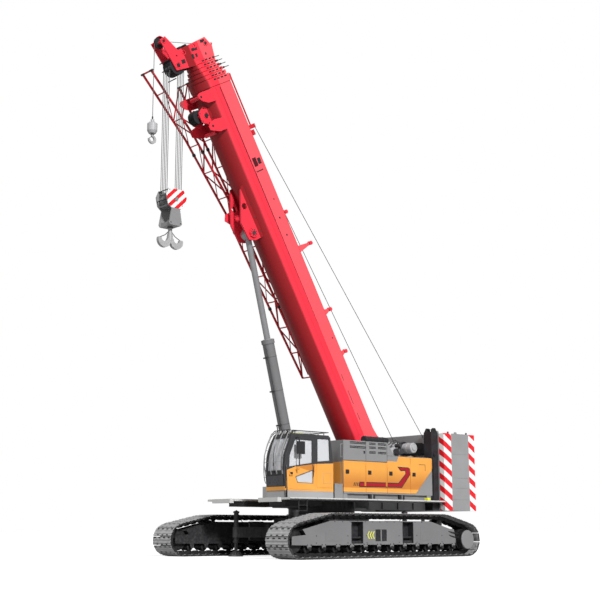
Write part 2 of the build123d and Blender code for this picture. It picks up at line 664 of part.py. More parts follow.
for jack_name, side, end in JACKS:
    lean = radians(JACK_ANGLE)
    reach = (side * sin(lean), end * cos(lean))
    hinge = (side * JACK_PIVOT[0], end * JACK_PIVOT[1])
    tip = (hinge[0] + reach[0] * JACK_ARM, hinge[1] + reach[1] * JACK_ARM)
    heading = degrees(atan2(reach[1], reach[0]))
    with BuildPart() as jack_arm:
        with BuildSketch(Plane.XY.offset(JACK_ARM_LOW)):
            with Locations(hinge):
                Circle(JACK_LUG_RADIUS - JACK_LUG_GAP * 4)
            with Locations(Location(((hinge[0] + tip[0]) / 2, (hinge[1] + tip[1]) / 2), heading)):
                Rectangle(JACK_ARM, JACK_ARM_WIDTH)
            with Locations(tip):
                Circle(JACK_TUBE_RADIUS + 2 * RUN_IN)
        extrude(amount=JACK_ARM_HEIGHT)
        post(tip, JACK_TUBE_RADIUS, JACK_TUBE_BOTTOM, JACK_TUBE_TOP)
        post(tip, JACK_TUBE_RADIUS + JACK_COLLAR, JACK_TUBE_TOP - JACK_CAP, JACK_TUBE_TOP)
        post(tip, JACK_TUBE_RADIUS + JACK_COLLAR, JACK_TUBE_BOTTOM, JACK_TUBE_BOTTOM + JACK_CAP)
        post(tip, JACK_ROD_RADIUS + PIN_CLEAR, JACK_TUBE_BOTTOM, JACK_TUBE_TOP - JACK_CAP, mode=Mode.SUBTRACT)
        post(hinge, JACK_PIN_RADIUS + PIN_CLEAR, JACK_ARM_LOW, JACK_ARM_LOW + JACK_ARM_HEIGHT, mode=Mode.SUBTRACT)
    save(jack_arm.part, f"jack_arm_{jack_name}")
    with BuildPart() as jack_leg:
        post(tip, JACK_FOOT_RADIUS, 0, JACK_FOOT_RIM)
        with BuildSketch(Plane.XY.offset(JACK_FOOT_RIM)):
            with Locations(tip):
                Circle(JACK_FOOT_RADIUS - JACK_FOOT_RIM / 2)
        with BuildSketch(Plane.XY.offset(JACK_FOOT_HEIGHT)):
            with Locations(tip):
                Circle(JACK_FOOT_NECK)
        loft()
        post(tip, JACK_ROD_RADIUS, JACK_FOOT_HEIGHT - 5, JACK_ROD_TOP)
    save(jack_leg.part, f"jack_leg_{jack_name}")

# Turntable: ring plate, side plates that carry the boom pin, and deck framing

deck_bottom = DECK_TOP - DECK_THICK
winch_y, winch_z = WINCHES[0][1:]
side_outline = [(FRAME_FRONT, FRAME_FLOOR), *SIDE_PLATE_RISE, (winch_y - WINCH_CRADLE[1], REAR_RAIL),
                (winch_y - WINCH_CRADLE[0], winch_z + WINCH_CRADLE[2]),
                (winch_y + WINCH_CRADLE[0], winch_z + WINCH_CRADLE[2]), (winch_y + WINCH_CRADLE[3], REAR_RAIL),
                (FRAME_REAR, REAR_RAIL), (FRAME_REAR, FRAME_FLOOR)]
cheek_outline = [(CYL_FOOT[0] + y, z) for y, z in FOOT_CHEEK_OUTLINE]
with BuildPart() as turntable:
    post((0, 0), RING_RADIUS + RIB_DEPTH / 2, RING_TOP + SEAT, deck_bottom)
    with BuildSketch(Plane.XY.offset(RING_TOP + SEAT)):
        with PolarLocations(RING_RADIUS + RIB_DEPTH / 2, RING_RIBS):
            Rectangle(RIB_DEPTH, RIB_WIDTH)
    extrude(amount=deck_bottom - RING_TOP - SEAT)
    box((-SIDE_PLATE_OUT, SIDE_PLATE_OUT), (FRAME_FRONT, FRAME_REAR), (FRAME_FLOOR, FRAME_FLOOR + FLOOR_PLATE))
    for side in (-1, 1):
        plate(side_outline, *outward(side, SIDE_PLATE_IN, SIDE_PLATE_OUT))
        plate(cheek_outline, *outward(side, EYE_WIDTH / 2 + EYE_CLEAR, EYE_WIDTH / 2 + EYE_CLEAR + CHEEK_PLATE))
        disc(*outward(side, EYE_WIDTH / 2 + EYE_CLEAR, EYE_WIDTH / 2 + EYE_CLEAR + 1.5 * CHEEK_PLATE),
             CYL_FOOT, CYL_PIN_RADIUS)
        for start, end, low in ((UNDERDECK_FRONT, UNDERDECK_TURN, UNDERDECK_LOW),
                                (REAR_FRAME_FRONT, FRAME_REAR, UNDERDECK_DEEP)):
            for y in (start, (start + end - UNDERDECK_WIDTH) / 2, end - UNDERDECK_WIDTH):
                box(outward(side, SIDE_PLATE_OUT - RUN_IN, UNDERDECK_X), (y, y + UNDERDECK_WIDTH),
                    (UNDERDECK_LOW, deck_bottom))
            box(outward(side, UNDERDECK_X - UNDERDECK_WIDTH, UNDERDECK_X), (start, end), (low, deck_bottom))
        box(outward(side, SIDE_PLATE_OUT - RUN_IN, SIDE_PLATE_OUT + 3 * RUN_IN), (UNDERDECK_FRONT, UNDERDECK_TURN),
            (UNDERDECK_LOW, deck_bottom))
        disc(*outward(side, SIDE_PLATE_OUT, SIDE_PLATE_OUT + GEARBOX_LENGTH), (winch_y, winch_z), DRUM_RADIUS)
        disc(*outward(side, SIDE_PLATE_OUT - RUN_IN, SIDE_PLATE_OUT + PIN_BOSS), BOOM_PIVOT, FOOT_RADIUS)
    box((-SIDE_PLATE_OUT, SIDE_PLATE_OUT), (FRAME_FRONT, FRONT_PLATE[0]), FRONT_PLATE[1:])
    box((-SIDE_PLATE_OUT, SIDE_PLATE_OUT), (FRAME_FRONT, FRAME_FRONT + FRONT_WALL), (FRAME_FLOOR, FRONT_PLATE[2]))
    disc(-SIDE_PLATE_OUT - 2 * RUN_IN, SIDE_PLATE_OUT + 2 * RUN_IN, BOOM_PIVOT, BOOM_PIN_RADIUS)
    box((-SIDE_PLATE_OUT, SIDE_PLATE_OUT), (FRAME_REAR - REAR_WALL, FRAME_REAR), (FRAME_FLOOR, REAR_RAIL))
save(turntable.part, "turntable")

with BuildPart() as walkways:
    for side in (-1, 1):
        box(outward(side, SIDE_PLATE_OUT + DECK_SEAT, DECK_HALF), (DECK_FRONT, DECK_REAR - DECK_SEAT),
            (deck_bottom, DECK_TOP))
        box(outward(side, POST_X[0] - 5, POST_X[1] + 5), (POST_Y[0] - 5, DECK_REAR), (deck_bottom, DECK_TOP),
            mode=Mode.SUBTRACT)
        box(outward(side, *STEP_X), (DECK_FRONT - STEP_FRONT, DECK_FRONT + RUN_IN),
            (DECK_TOP - STEP_THICK, DECK_TOP))
        box(outward(side, *TOOLBOX_X), TOOLBOX_Y, (DECK_TOP, TOOLBOX_TOP))
save(walkways.part, "walkways")

# Counterweight: five slabs, and the two posts that lift them

with BuildPart() as counterweight_posts:
    for side in (-1, 1):
        box(outward(side, *POST_X), POST_Y, POST_Z)
        for x in (POST_X[0], POST_X[1] - EAR_THICK):
            middle = (POST_Y[0] + POST_Y[1]) / 2
            plate([(middle - POST_EAR, POST_Z[1]), (middle - EAR_THICK, POST_Z[1] + POST_EAR),
                   (middle + EAR_THICK, POST_Z[1] + POST_EAR), (middle + POST_EAR, POST_Z[1])],
                   *outward(side, x, x + EAR_THICK))
        disc(*outward(side, POST_X[1], POST_X[1] + PIN_BOSS), ((POST_Y[0] + POST_Y[1]) / 2, REAR_RAIL), POST_BOSS)
    box((-POST_X[0], POST_X[0]), (POST_Y[1] - BEAM_THICK, POST_Y[1]), BEAM_Z)
save(counterweight_posts.part, "counterweight_posts")

for index, (low, high) in enumerate(zip(CW_LEVELS, CW_LEVELS[1:])):
    with BuildPart() as slab:
        box((-CW_HALF, CW_HALF), (CW_FRONT, CW_REAR), (low, high))
        chamfer(slab.edges().filter_by(Axis.Z), CW_CORNER)
        chamfer(slab.faces().sort_by(Axis.Z)[-1].edges(), CW_SEAM)
        if index == len(CW_LEVELS) - 2:
            for side in (-1, 1):
                for y in (CW_FRONT + CW_LUG[0], CW_REAR - CW_LUG[1]):
                    plate([(y - CW_LUG_HALF[0], high - RUN_IN), (y - CW_LUG_HALF[1], high + CW_LUG_RISE),
                           (y + CW_LUG_HALF[1], high + CW_LUG_RISE), (y + CW_LUG_HALF[0], high - RUN_IN)],
                          *outward(side, *CW_LUG_X))
    save(slab.part, f"counterweight_slab_{index + 1}")

# Boom

boom_lean = radians(BOOM_ANGLE)
along_boom = (0, -cos(boom_lean), sin(boom_lean))
above_boom = (0, sin(boom_lean), cos(boom_lean))


def boom_point(distance, rise, x=0):
    """World point from a distance along the boom and a rise above the pivot line."""
    return (x, BOOM_PIVOT[0] + distance * along_boom[1] + rise * above_boom[1],
            BOOM_PIVOT[1] + distance * along_boom[2] + rise * above_boom[2])


def boom_section_plane(distance):
    """Plane square to the boom: first axis X, second axis up out of the top plate."""
    return Plane(origin=boom_point(distance, 0), x_dir=(1, 0, 0), z_dir=along_boom)


def boom_side_plane(x):
    """Plane along the boom at x: first axis along the boom, second axis its rise."""
    return Plane(origin=boom_point(0, 0, x), x_dir=along_boom, z_dir=(-1, 0, 0))


def boom_plate(points, x_low, x_high, mode=Mode.ADD):
    """Plate whose outline is given as (along, rise), between two x values."""
    with BuildSketch(boom_side_plane(x_high)) as outline:
        Polygon(*points, align=None)
    extrude(outline.sketch, amount=x_high - x_low, mode=mode)


def boom_disc(x_low, x_high, centre, radius, mode=Mode.ADD, corners=0):
    """Disc, or a prism with some corners, across the boom, centred on (along, rise)."""
    with BuildSketch(boom_side_plane(x_high)) as outline:
        with Locations(centre):
            if corners:
                RegularPolygon(radius, corners)
            else:
                Circle(radius)
    extrude(outline.sketch, amount=x_high - x_low, mode=mode)


def boom_tube(inset, start, end, mode=Mode.ADD):
    """U-shaped prism: flat top and sides, round underside."""
    half = BOOM_WIDTH / 2 - inset
    top = BOOM_TOP_RISE - inset
    low = BOOM_TOP_RISE - BOOM_DEPTH + BOOM_WIDTH / 2
    with BuildSketch(boom_section_plane(start)) as outline:
        with BuildLine():
            Line((half, low), (half, top))
            Line((half, top), (-half, top))
            Line((-half, top), (-half, low))
            ThreePointArc((-half, low), (0, low - half), (half, low))
        make_face()
    extrude(outline.sketch, amount=end - start, mode=mode)


def rise_on(line, distance):
    """Rise of a bent line at a distance along the boom."""
    for first, second in zip(line, line[1:]):
        if distance <= second[0] or second is line[-1]:
            share = (distance - first[0]) / (second[0] - first[0])
            return first[1] + share * (second[1] - first[1])


foot_out = SIDE_PLATE_IN - FOOT_CLEAR
half_width = BOOM_WIDTH / 2
for index in range(SECTION_COUNT):
    inset = index * SECTION_STEP
    start = BOOM_FOOT + index * SECTION_START
    end = BOOM_BASE_END + index * COLLAR_STEP
    with BuildPart() as section:
        boom_tube(inset, start, end)
        if index == 0:
            boom_tube(-COLLAR_RISE, end - BASE_COLLAR, end)
        else:
            boom_tube(inset - COLLAR_RISE, end - COLLAR_LENGTH, end)
        if index == 0:
            for side in (-1, 1):
                boom_plate(FOOT_OUTLINE, *outward(side, half_width - FOOT_CHEEK, half_width))
                boom_disc(*outward(side, half_width - FOOT_CHEEK, foot_out), (0, 0), FOOT_RADIUS)
                boom_plate([(start, SEAM_RISE - SEAM_SIZE), (start, SEAM_RISE), (end - BASE_COLLAR, SEAM_RISE),
                            (end - BASE_COLLAR, SEAM_RISE - SEAM_SIZE)],
                           *outward(side, half_width - SECTION_WALL / 2, half_width + SEAM_PROUD))
                boom_plate(BRACKET_OUTLINE, *outward(side, BRACKET_IN, BRACKET_IN + CHEEK_PLATE))
                boom_disc(*outward(side, BRACKET_IN, BRACKET_IN + CHEEK_PLATE), BRACKET_HOLE, BRACKET_HOLE_RADIUS,
                          mode=Mode.SUBTRACT, corners=5)
                boom_disc(*outward(side, EYE_WIDTH / 2 + EYE_CLEAR, BRACKET_IN), ROD_EYE, EYE_BOSS - RUN_IN)
                boom_disc(*outward(side, BRACKET_IN + CHEEK_PLATE, BRACKET_IN + CHEEK_PLATE + EYE_BOSS_RISE),
                          ROD_EYE, EYE_BOSS)
                with BuildSketch(boom_side_plane(side * (BRACKET_IN + CHEEK_PLATE))) as ribs:
                    with Locations(ROD_EYE):
                        with PolarLocations(EYE_BOSS, EYE_BOSS_RIBS):
                            Rectangle(RIB_DEPTH, RIB_WIDTH)
                extrude(ribs.sketch, amount=-side * EYE_BOSS_RISE)
                boom_disc(*outward(side, BRACKET_IN, BRACKET_IN + HEAD_PLATE), GUIDE_PLATE, GUIDE_RADIUS, corners=6)
            boom_disc(-BRACKET_IN, BRACKET_IN, ROD_EYE, CYL_PIN_RADIUS)
            boom_disc(-BRACKET_IN, BRACKET_IN, GUIDE_SHEAVE, SMALL_PIN)
            for spot in GUIDE_LUGS:
                boom_disc(-BRACKET_IN - HEAD_PLATE, BRACKET_IN + HEAD_PLATE, spot, SMALL_PIN + RUN_IN)
            boom_plate(STORAGE_OUTLINE, -half_width, -half_width + HEAD_PLATE)
            for distance, height in ROPE_LUGS:
                boom_plate([(distance - ROPE_LUG_BASE, BOOM_TOP_RISE), (distance - ROPE_LUG_TIP / 2, height),
                            (distance + ROPE_LUG_TIP / 2, height), (distance + ROPE_LUG_BASE, BOOM_TOP_RISE)],
                           ROPE_LUG_X - ROPE_LUG_HALF, ROPE_LUG_X + ROPE_LUG_HALF)
                boom_disc(ROPE_LUG_X - ROPE_LUG_HALF, ROPE_LUG_X + ROPE_LUG_HALF, (distance, height), ROPE_LUG_TIP)
            boom_disc(-foot_out - 1, foot_out + 1, (0, 0), BOOM_PIN_RADIUS + PIN_CLEAR, mode=Mode.SUBTRACT)
            for distance in JIB_BRACKETS:
                rise = rise_on(JIB_UPPER, distance)
                boom_plate([(distance, rise - JIB_CLAMP[1]), (distance + JIB_CLAMP[0], rise - JIB_CLAMP[1]),
                            (distance + JIB_CLAMP[0], rise + JIB_CLAMP[1]), (distance, rise + JIB_CLAMP[1])],
                           JIB_X[1] + JIB_TUBE, -half_width + SECTION_WALL)
        boom_tube(inset + SECTION_WALL, start - 1, end - PAD_LENGTH, mode=Mode.SUBTRACT)
        if index < SECTION_COUNT - 1:
            boom_tube(inset + SECTION_STEP - SEAT, end - PAD_LENGTH - 1, end + 1, mode=Mode.SUBTRACT)
        if index == SECTION_COUNT - 1:
            head_outline = [(end + HEAD_REACH[0], 0), *((end + y, z) for y, z in HEAD_BROW),
                            *((NOSE_SHEAVE[0] + y, NOSE_SHEAVE[1] + z) for y, z in HEAD_NOSE),
                            *((MAIN_SHEAVE[0] + y, MAIN_SHEAVE[1] + z) for y, z in HEAD_CHIN),
                            (end + HEAD_REACH[0], HEAD_REACH[1])]
            inner = half_width - inset - HEAD_INSET
            for side in (-1, 1):
                boom_plate(head_outline, *outward(side, inner, inner + HEAD_PLATE))
            for spot, radius in ((MAIN_SHEAVE, MAIN_PIN), (NOSE_SHEAVE, SMALL_PIN), (TOP_SHEAVE, SMALL_PIN)):
                boom_disc(-inner, inner, spot, radius)
            for spot in JIB_PINS:
                boom_disc(-half_width, half_width, spot, JIB_PIN_RADIUS, mode=Mode.SUBTRACT)
            boom_tube(inset, end - PAD_LENGTH - 1, end - PAD_LENGTH + HEAD_PLATE)
    save(section.part, f"boom_section_{index + 1}")


def grooved(draw, x, centre, radius, half=SHEAVE_HALF):
    """Sheave with a rope groove, drawn by a function that makes discs."""
    groove = half / 2
    for low, high, rim in ((-half, -groove, radius), (-groove, groove, radius - SHEAVE_RIM), (groove, half, radius)):
        draw(x + low, x + high, centre, rim)


def sheave(x, centre, radius, pin, half=SHEAVE_HALF):
    """Sheave on a pin across the boom."""
    grooved(boom_disc, x, centre, radius, half)
    boom_disc(x - half, x + half, centre, pin + PIN_CLEAR, mode=Mode.SUBTRACT)


with BuildPart() as head_sheaves:
    for slot in SHEAVE_SLOTS:
        sheave(slot * SHEAVE_PITCH, MAIN_SHEAVE, SHEAVE_RADIUS, MAIN_PIN)
    sheave(0, NOSE_SHEAVE, NOSE_RADIUS, SMALL_PIN)
    sheave(0, TOP_SHEAVE, TOP_RADIUS, SMALL_PIN)
save(head_sheaves.part, "head_sheaves")

with BuildPart() as guide_sheaves:
    for slot in GUIDE_SLOTS:
        sheave(slot * SHEAVE_PITCH, GUIDE_SHEAVE, GUIDE_SHEAVE_RADIUS, SMALL_PIN, GUIDE_HALF)
save(guide_sheaves.part, "guide_sheaves")

# Luffing cylinder, on the line from its foot to its rod eye

eye_point = boom_point(*ROD_EYE)
cyl_span = (eye_point[1] - CYL_FOOT[0], eye_point[2] - CYL_FOOT[1])
cyl_length = hypot(*cyl_span)
rod_start = cyl_length - ROD_LENGTH
along_cyl = (0, cyl_span[0] / cyl_length, cyl_span[1] / cyl_length)


def cyl_tube(start, end, radius, mode=Mode.ADD):
    """Round length on the cylinder's line, measured from the foot pin."""
    origin = (0, CYL_FOOT[0] + start * along_cyl[1], CYL_FOOT[1] + start * along_cyl[2])
    with BuildSketch(Plane(origin=origin, x_dir=(1, 0, 0), z_dir=along_cyl)) as outline:
        Circle(radius)
    extrude(outline.sketch, amount=end - start, mode=mode)


with BuildPart() as luff_barrel:
    disc(-EYE_WIDTH / 2, EYE_WIDTH / 2, CYL_FOOT, EYE_RADIUS)
    cyl_tube(EYE_RADIUS / 2, NECK_LENGTH, EYE_WIDTH / 2)
    cyl_tube(NECK_LENGTH, BARREL_LENGTH, BARREL_RADIUS)
    cyl_tube(BARREL_LENGTH - BARREL_COLLAR_LENGTH, BARREL_LENGTH, BARREL_RADIUS + BARREL_COLLAR)
    cyl_tube(NECK_LENGTH + BARREL_END_WALL, BARREL_LENGTH - GLAND_LENGTH, BARREL_BORE, mode=Mode.SUBTRACT)
    cyl_tube(BARREL_LENGTH - GLAND_LENGTH - 1, BARREL_LENGTH + 1, ROD_RADIUS + PIN_CLEAR, mode=Mode.SUBTRACT)
save(luff_barrel.part, "luff_barrel")

with BuildPart() as luff_rod:
    boom_disc(-EYE_WIDTH / 2, EYE_WIDTH / 2, ROD_EYE, EYE_RADIUS)
    cyl_tube(rod_start, cyl_length - EYE_RADIUS / 2, ROD_RADIUS)
    boom_disc(-EYE_WIDTH / 2, EYE_WIDTH / 2, ROD_EYE, CYL_PIN_RADIUS + PIN_CLEAR, mode=Mode.SUBTRACT)
save(luff_rod.part, "luff_rod")

# Stowed jib on the far side of the boom


def strut(first, second, x, depth):
    """Straight bar between two (along, rise) points."""
    run = hypot(second[0] - first[0], second[1] - first[1])
    across = (-(second[1] - first[1]) / run * depth / 2, (second[0] - first[0]) / run * depth / 2)
    boom_plate([(first[0] + across[0], first[1] + across[1]), (second[0] + across[0], second[1] + across[1]),
                (second[0] - across[0], second[1] - across[1]), (first[0] - across[0], first[1] - across[1])],
               x, x + depth)


with BuildPart() as lattice_jib:
    bay = (JIB_UPPER[-1][0] - JIB_UPPER[0][0]) / JIB_BAYS
    stations = [JIB_UPPER[0][0] + bay * index for index in range(JIB_BAYS + 1)]
    for x in JIB_X:
        for line in (JIB_UPPER, JIB_LOWER):
            for first, second in zip(line, line[1:]):
                strut(first, second, x, JIB_TUBE)
        for index, (near, far) in enumerate(zip(stations, stations[1:])):
            lines = (JIB_UPPER, JIB_LOWER) if index % 2 else (JIB_LOWER, JIB_UPPER)
            strut((near, rise_on(lines[0], near)), (far, rise_on(lines[1], far)), x, JIB_LACE)
    for near in stations:
        for line in (JIB_UPPER, JIB_LOWER):
            rise = rise_on(line, near)
            boom_plate([(near - JIB_CROSS, rise - JIB_CROSS), (near + JIB_CROSS, rise - JIB_CROSS),
                        (near + JIB_CROSS, rise + JIB_CROSS), (near - JIB_CROSS, rise + JIB_CROSS)],
                       JIB_X[0] + JIB_CROSS, JIB_X[1] + 2 * JIB_CROSS)
save(lattice_jib.part, "lattice_jib")

# Hook block with its falls, main hook, and ball hook

main_axis = boom_point(*MAIN_SHEAVE)
nose_axis = boom_point(*NOSE_SHEAVE)
block = (main_axis[1], main_axis[2] - BLOCK_DROP)
rope_seat = ROPE_RADIUS + SEAT - SHEAVE_RIM  # rope centre from a sheave's rim
with BuildPart() as main_falls:
    for slot in SHEAVE_SLOTS:
        for side in (-1, 1):
            post((slot * SHEAVE_PITCH, main_axis[1] + side * (SHEAVE_RADIUS + rope_seat)), ROPE_RADIUS, block[1],
                 main_axis[2])
save(main_falls.part, "main_falls")

y_block, z_block = block
cheek = [(y_block + y, z_block + z) for y, z in CHEEK_OUTLINE]
with BuildPart() as hook_block:
    for slot in SHEAVE_SLOTS:
        grooved(disc, slot * SHEAVE_PITCH, block, SHEAVE_RADIUS)
    disc(-BLOCK_CHEEK[1] - BLOCK_PIN_END, BLOCK_CHEEK[1] + BLOCK_PIN_END, block, MAIN_PIN)
    for side in (-1, 1):
        plate(cheek, *outward(side, *BLOCK_CHEEK))
    box((-BLOCK_CHEEK[0], BLOCK_CHEEK[0]), (y_block - BLOCK_FLOOR_HALF, y_block + BLOCK_FLOOR_HALF),
        (z_block - BLOCK_BOTTOM, z_block - BLOCK_BOTTOM + BLOCK_FLOOR))
    for y in (y_block - BLOCK_BAR[0], y_block + BLOCK_BAR[0]):
        disc(-BLOCK_CHEEK[0], BLOCK_CHEEK[0], (y, z_block - BLOCK_BAR[1]), BLOCK_BAR[2])
    post((0, y_block), HOOK_SHANK + PIN_CLEAR, z_block - BLOCK_BOTTOM, z_block - BLOCK_BOTTOM + BLOCK_FLOOR,
         mode=Mode.SUBTRACT)
save(hook_block.part, "hook_block")

horn_z = z_block - HORN_DROP
hook_top = z_block - BLOCK_BOTTOM + BLOCK_FLOOR + JACK_LUG_GAP
with BuildPart() as main_hook:
    with BuildSketch(side_plane(-HORN_HALF)) as horns:
        with Locations((y_block - HORN_SPREAD, horn_z), (y_block + HORN_SPREAD, horn_z)):
            Circle(HORN_RADIUS)
        with Locations((y_block - HORN_SPREAD, horn_z + HORN_TIP), (y_block + HORN_SPREAD, horn_z + HORN_TIP)):
            Circle(HORN_THROAT, mode=Mode.SUBTRACT)
        with Locations((y_block, horn_z + HORN_TIP + HORN_RADIUS)):
            Rectangle(4 * HORN_RADIUS, 2 * HORN_RADIUS, mode=Mode.SUBTRACT)
        Polygon((y_block - 120, horn_z - 60), (y_block - 70, horn_z + 260), (y_block + 70, horn_z + 260),
                (y_block + 120, horn_z - 60), align=None)
    extrude(amount=2 * HORN_HALF)
    post((0, y_block), HOOK_SHANK, horn_z, hook_top + 60)
    post((0, y_block), HOOK_NUT, hook_top, hook_top + 60)
save(main_hook.part, "main_hook")

aux_y = nose_axis[1] - NOSE_RADIUS - rope_seat
ball_top = nose_axis[2] - BALL_DROP
ball_bottom = ball_top - BALL_HEIGHT
with BuildPart() as aux_fall:
    post((0, aux_y), ROPE_RADIUS, ball_top, nose_axis[2])
save(aux_fall.part, "aux_fall")

with BuildPart() as ball_weight:
    with BuildSketch(Plane.XZ.offset(-aux_y)):
        Polygon((0, ball_top), (60, ball_top), (60, ball_top - 70), (BALL_RADIUS, ball_top - 150),
                (BALL_RADIUS, ball_bottom + 90), (BALL_RADIUS - 50, ball_bottom), (0, ball_bottom), align=None)
    revolve(axis=Axis((0, aux_y, 0), (0, 0, 1)))
    post((0, aux_y), BALL_STEM + PIN_CLEAR, ball_bottom, ball_bottom + BALL_BORE, mode=Mode.SUBTRACT)
save(ball_weight.part, "ball_weight")

claw_z = ball_bottom - CLAW_RADIUS - 60
with BuildPart() as ball_hook:
    with BuildSketch(side_plane(-CLAW_HALF)):
        with Locations((aux_y, claw_z)):
            Circle(CLAW_RADIUS)
        with Locations((aux_y - 15, claw_z + 10)):
            Circle(CLAW_THROAT, mode=Mode.SUBTRACT)
        with Locations((aux_y - CLAW_RADIUS / 2 - 20, claw_z + CLAW_RADIUS / 2 + 20)):
            Rectangle(CLAW_RADIUS + 20, CLAW_RADIUS, mode=Mode.SUBTRACT)
        with Locations((aux_y + 10, claw_z + CLAW_RADIUS)):
            Rectangle(2 * BALL_STEM, CLAW_RADIUS - 60)
    extrude(amount=2 * CLAW_HALF)
    post((0, aux_y), BALL_STEM, claw_z + CLAW_THROAT + 40, ball_bottom + BALL_BORE - 20)
save(ball_hook.part, "ball_hook")

# Machinery houses with their side doors

side_doors = []
for index, (front, rear) in enumerate(zip(DOOR_SEAMS, DOOR_SEAMS[1:])):
    top = LOW_DOOR_TOP if index < 2 else HOUSE_TOP - DOOR_GAP
    outline = [(front, DOOR_LOW), (rear, DOOR_LOW), (rear, top), (front, top)]
    if index == 3:
        outline = [(front, DOOR_LOW), (REAR_DOOR_CORNER[0], DOOR_LOW), (rear, REAR_DOOR_CORNER[1]), (rear, top),
                   (front, top)]
    side_doors.append(outline)


def hinged(outline, wall, axis_y, heights):
    """Side door pulled in by its gap, with hinge barrels outside its rear edge."""
    plate(outline, HOUSE_OUTER - wall, HOUSE_OUTER, margin=DOOR_GAP)
    for z in heights:
        post((HOUSE_OUTER + HINGE_RADIUS, axis_y), HINGE_RADIUS, z, z + HINGE_HEIGHT)
        box((HOUSE_OUTER, HOUSE_OUTER + HINGE_RADIUS / 2), (axis_y - HINGE_LEAF, axis_y), (z, z + HINGE_HEIGHT))


house_outline = [(HOUSE_FRONT, HOUSE_BOTTOM), (HOUSE_REAR, HOUSE_BOTTOM), (HOUSE_REAR, HOUSE_TOP),
                 (HOOD_FOOT, HOUSE_TOP), (HOOD_REAR, HOOD_TOP), (HOUSE_FRONT, HOOD_TOP)]
with BuildPart() as house_left:
    plate(house_outline, HOUSE_INNER, HOUSE_OUTER)
    plate(house_outline, HOUSE_INNER + HOUSE_WALL, HOUSE_OUTER - HOUSE_WALL, mode=Mode.SUBTRACT, margin=HOUSE_WALL)
    for outline in side_doors:
        plate(outline, HOUSE_OUTER - HOUSE_WALL, HOUSE_OUTER, mode=Mode.SUBTRACT)
    for y in DOOR_SEAMS[1:-1]:
        box((HOUSE_OUTER - HOUSE_WALL - 40, HOUSE_OUTER - HOUSE_WALL), (y - 50, y + 50),
            (HOUSE_BOTTOM + HOUSE_WALL, HOUSE_TOP - HOUSE_WALL))
    for y_from, y_to, slots in LOUVRES:
        for z in slots:
            box((HOUSE_OUTER - LOUVRE_DEPTH, HOUSE_OUTER), (y_from, y_to),
                (z - LOUVRE_HEIGHT / 2, z + LOUVRE_HEIGHT / 2),
                mode=Mode.SUBTRACT)
            box((HOUSE_OUTER - LOUVRE_DEPTH, HOUSE_OUTER - SEAM_PROUD), (y_from, y_to), (z - 8, z + 8))
    for y in HOUSE_FEET:
        box((HOUSE_INNER + 50, HOUSE_OUTER - 20), (y, y + HOUSE_FOOT_LENGTH), (DECK_TOP, HOUSE_BOTTOM))
save(house_left.part, "house_left")
mirrored(house_left.part, "house_right")
for index, outline in enumerate(side_doors):
    with BuildPart() as house_door:
        hinged(outline, DOOR_THICK, DOOR_SEAMS[index + 1] - DOOR_GAP, DOOR_HINGES if index < 3 else REAR_HINGES)
        latch_y = DOOR_SEAMS[index] + LATCH_INSET
        box((HOUSE_OUTER, HOUSE_OUTER + LATCH_SIZE[2]), (latch_y, latch_y + LATCH_SIZE[0]),
            (LATCH_Z - LATCH_SIZE[1] / 2, LATCH_Z + LATCH_SIZE[1] / 2))
    save(house_door.part, f"house_door_left_{index + 1}")
    if index in (0, 1):
        mirrored(house_door.part, f"house_door_right_{index + 1}")
with BuildPart() as house_cover_right:
    for outline in side_doors[2:]:
        plate(outline, -HOUSE_OUTER, -HOUSE_OUTER + DOOR_THICK)
save(house_cover_right.part, "house_cover_right")

house_floor = HOUSE_BOTTOM + HOUSE_WALL
with BuildPart() as engine_block:
    box(ENGINE_X, ENGINE_Y, ENGINE_Z)
    for y in (ENGINE_Y[0] + ENGINE_FOOT[0], ENGINE_Y[1] - ENGINE_FOOT[0] - ENGINE_FOOT[1]):
        box(ENGINE_X, (y, y + ENGINE_FOOT[1]), (house_floor, ENGINE_Z[0]))
    for slot in range(6):
        y = ENGINE_Y[0] + HEAD_START + slot * HEAD_PITCH
        box((ENGINE_X[0] + HEAD_INSET_X, ENGINE_X[1] - HEAD_INSET_X), (y, y + HEAD_LENGTH),
            (ENGINE_Z[1], ENGINE_Z[1] + HEAD_HEIGHT))
    with BuildSketch(Plane.XZ.offset(-ENGINE_Y[0])) as fan:
        with Locations(((ENGINE_X[0] + ENGINE_X[1]) / 2, FAN_Z)):
            Circle(FAN_RADIUS)
    extrude(fan.sketch, amount=FAN_DEPTH)
save(engine_block.part, "engine_block")

with BuildPart() as muffler:
    with BuildSketch(Plane.XZ.offset(-MUFFLER_Y[0])) as shell:
        with Locations(MUFFLER_CENTRE):
            Circle(MUFFLER_RADIUS)
    extrude(shell.sketch, amount=MUFFLER_Y[0] - MUFFLER_Y[1])
    with BuildSketch(Plane.XZ.offset(-MUFFLER_Y[1])) as mouth:
        with Locations(MUFFLER_CENTRE):
            Circle(MUFFLER_MOUTH)
    extrude(mouth.sketch, amount=MUFFLER_BORE, mode=Mode.SUBTRACT)
    for y in (MUFFLER_Y[0] + MUFFLER_FEET[0], MUFFLER_Y[0] + MUFFLER_FEET[1]):
        box((MUFFLER_CENTRE[0] - MUFFLER_FOOT_HALF, MUFFLER_CENTRE[0] + MUFFLER_FOOT_HALF),
            (y, y + MUFFLER_FOOT_LENGTH), (HOOD_TOP, MUFFLER_CENTRE[1] - MUFFLER_FOOT_HALF))
save(muffler.part, "muffler")

# Winches behind the boom foot

for name, y, z in WINCHES:
    with BuildPart() as drum:
        disc(-DRUM_HALF, DRUM_HALF, (y, z), WOUND_ROPE)
        for side in (-1, 1):
            disc(*outward(side, DRUM_HALF, DRUM_HALF + FLANGE_THICK), (y, z), DRUM_FLANGE)
        disc(-SIDE_PLATE_IN + SEAT, SIDE_PLATE_IN - SEAT, (y, z), DRUM_AXLE)
    save(drum.part, name)

# Cab

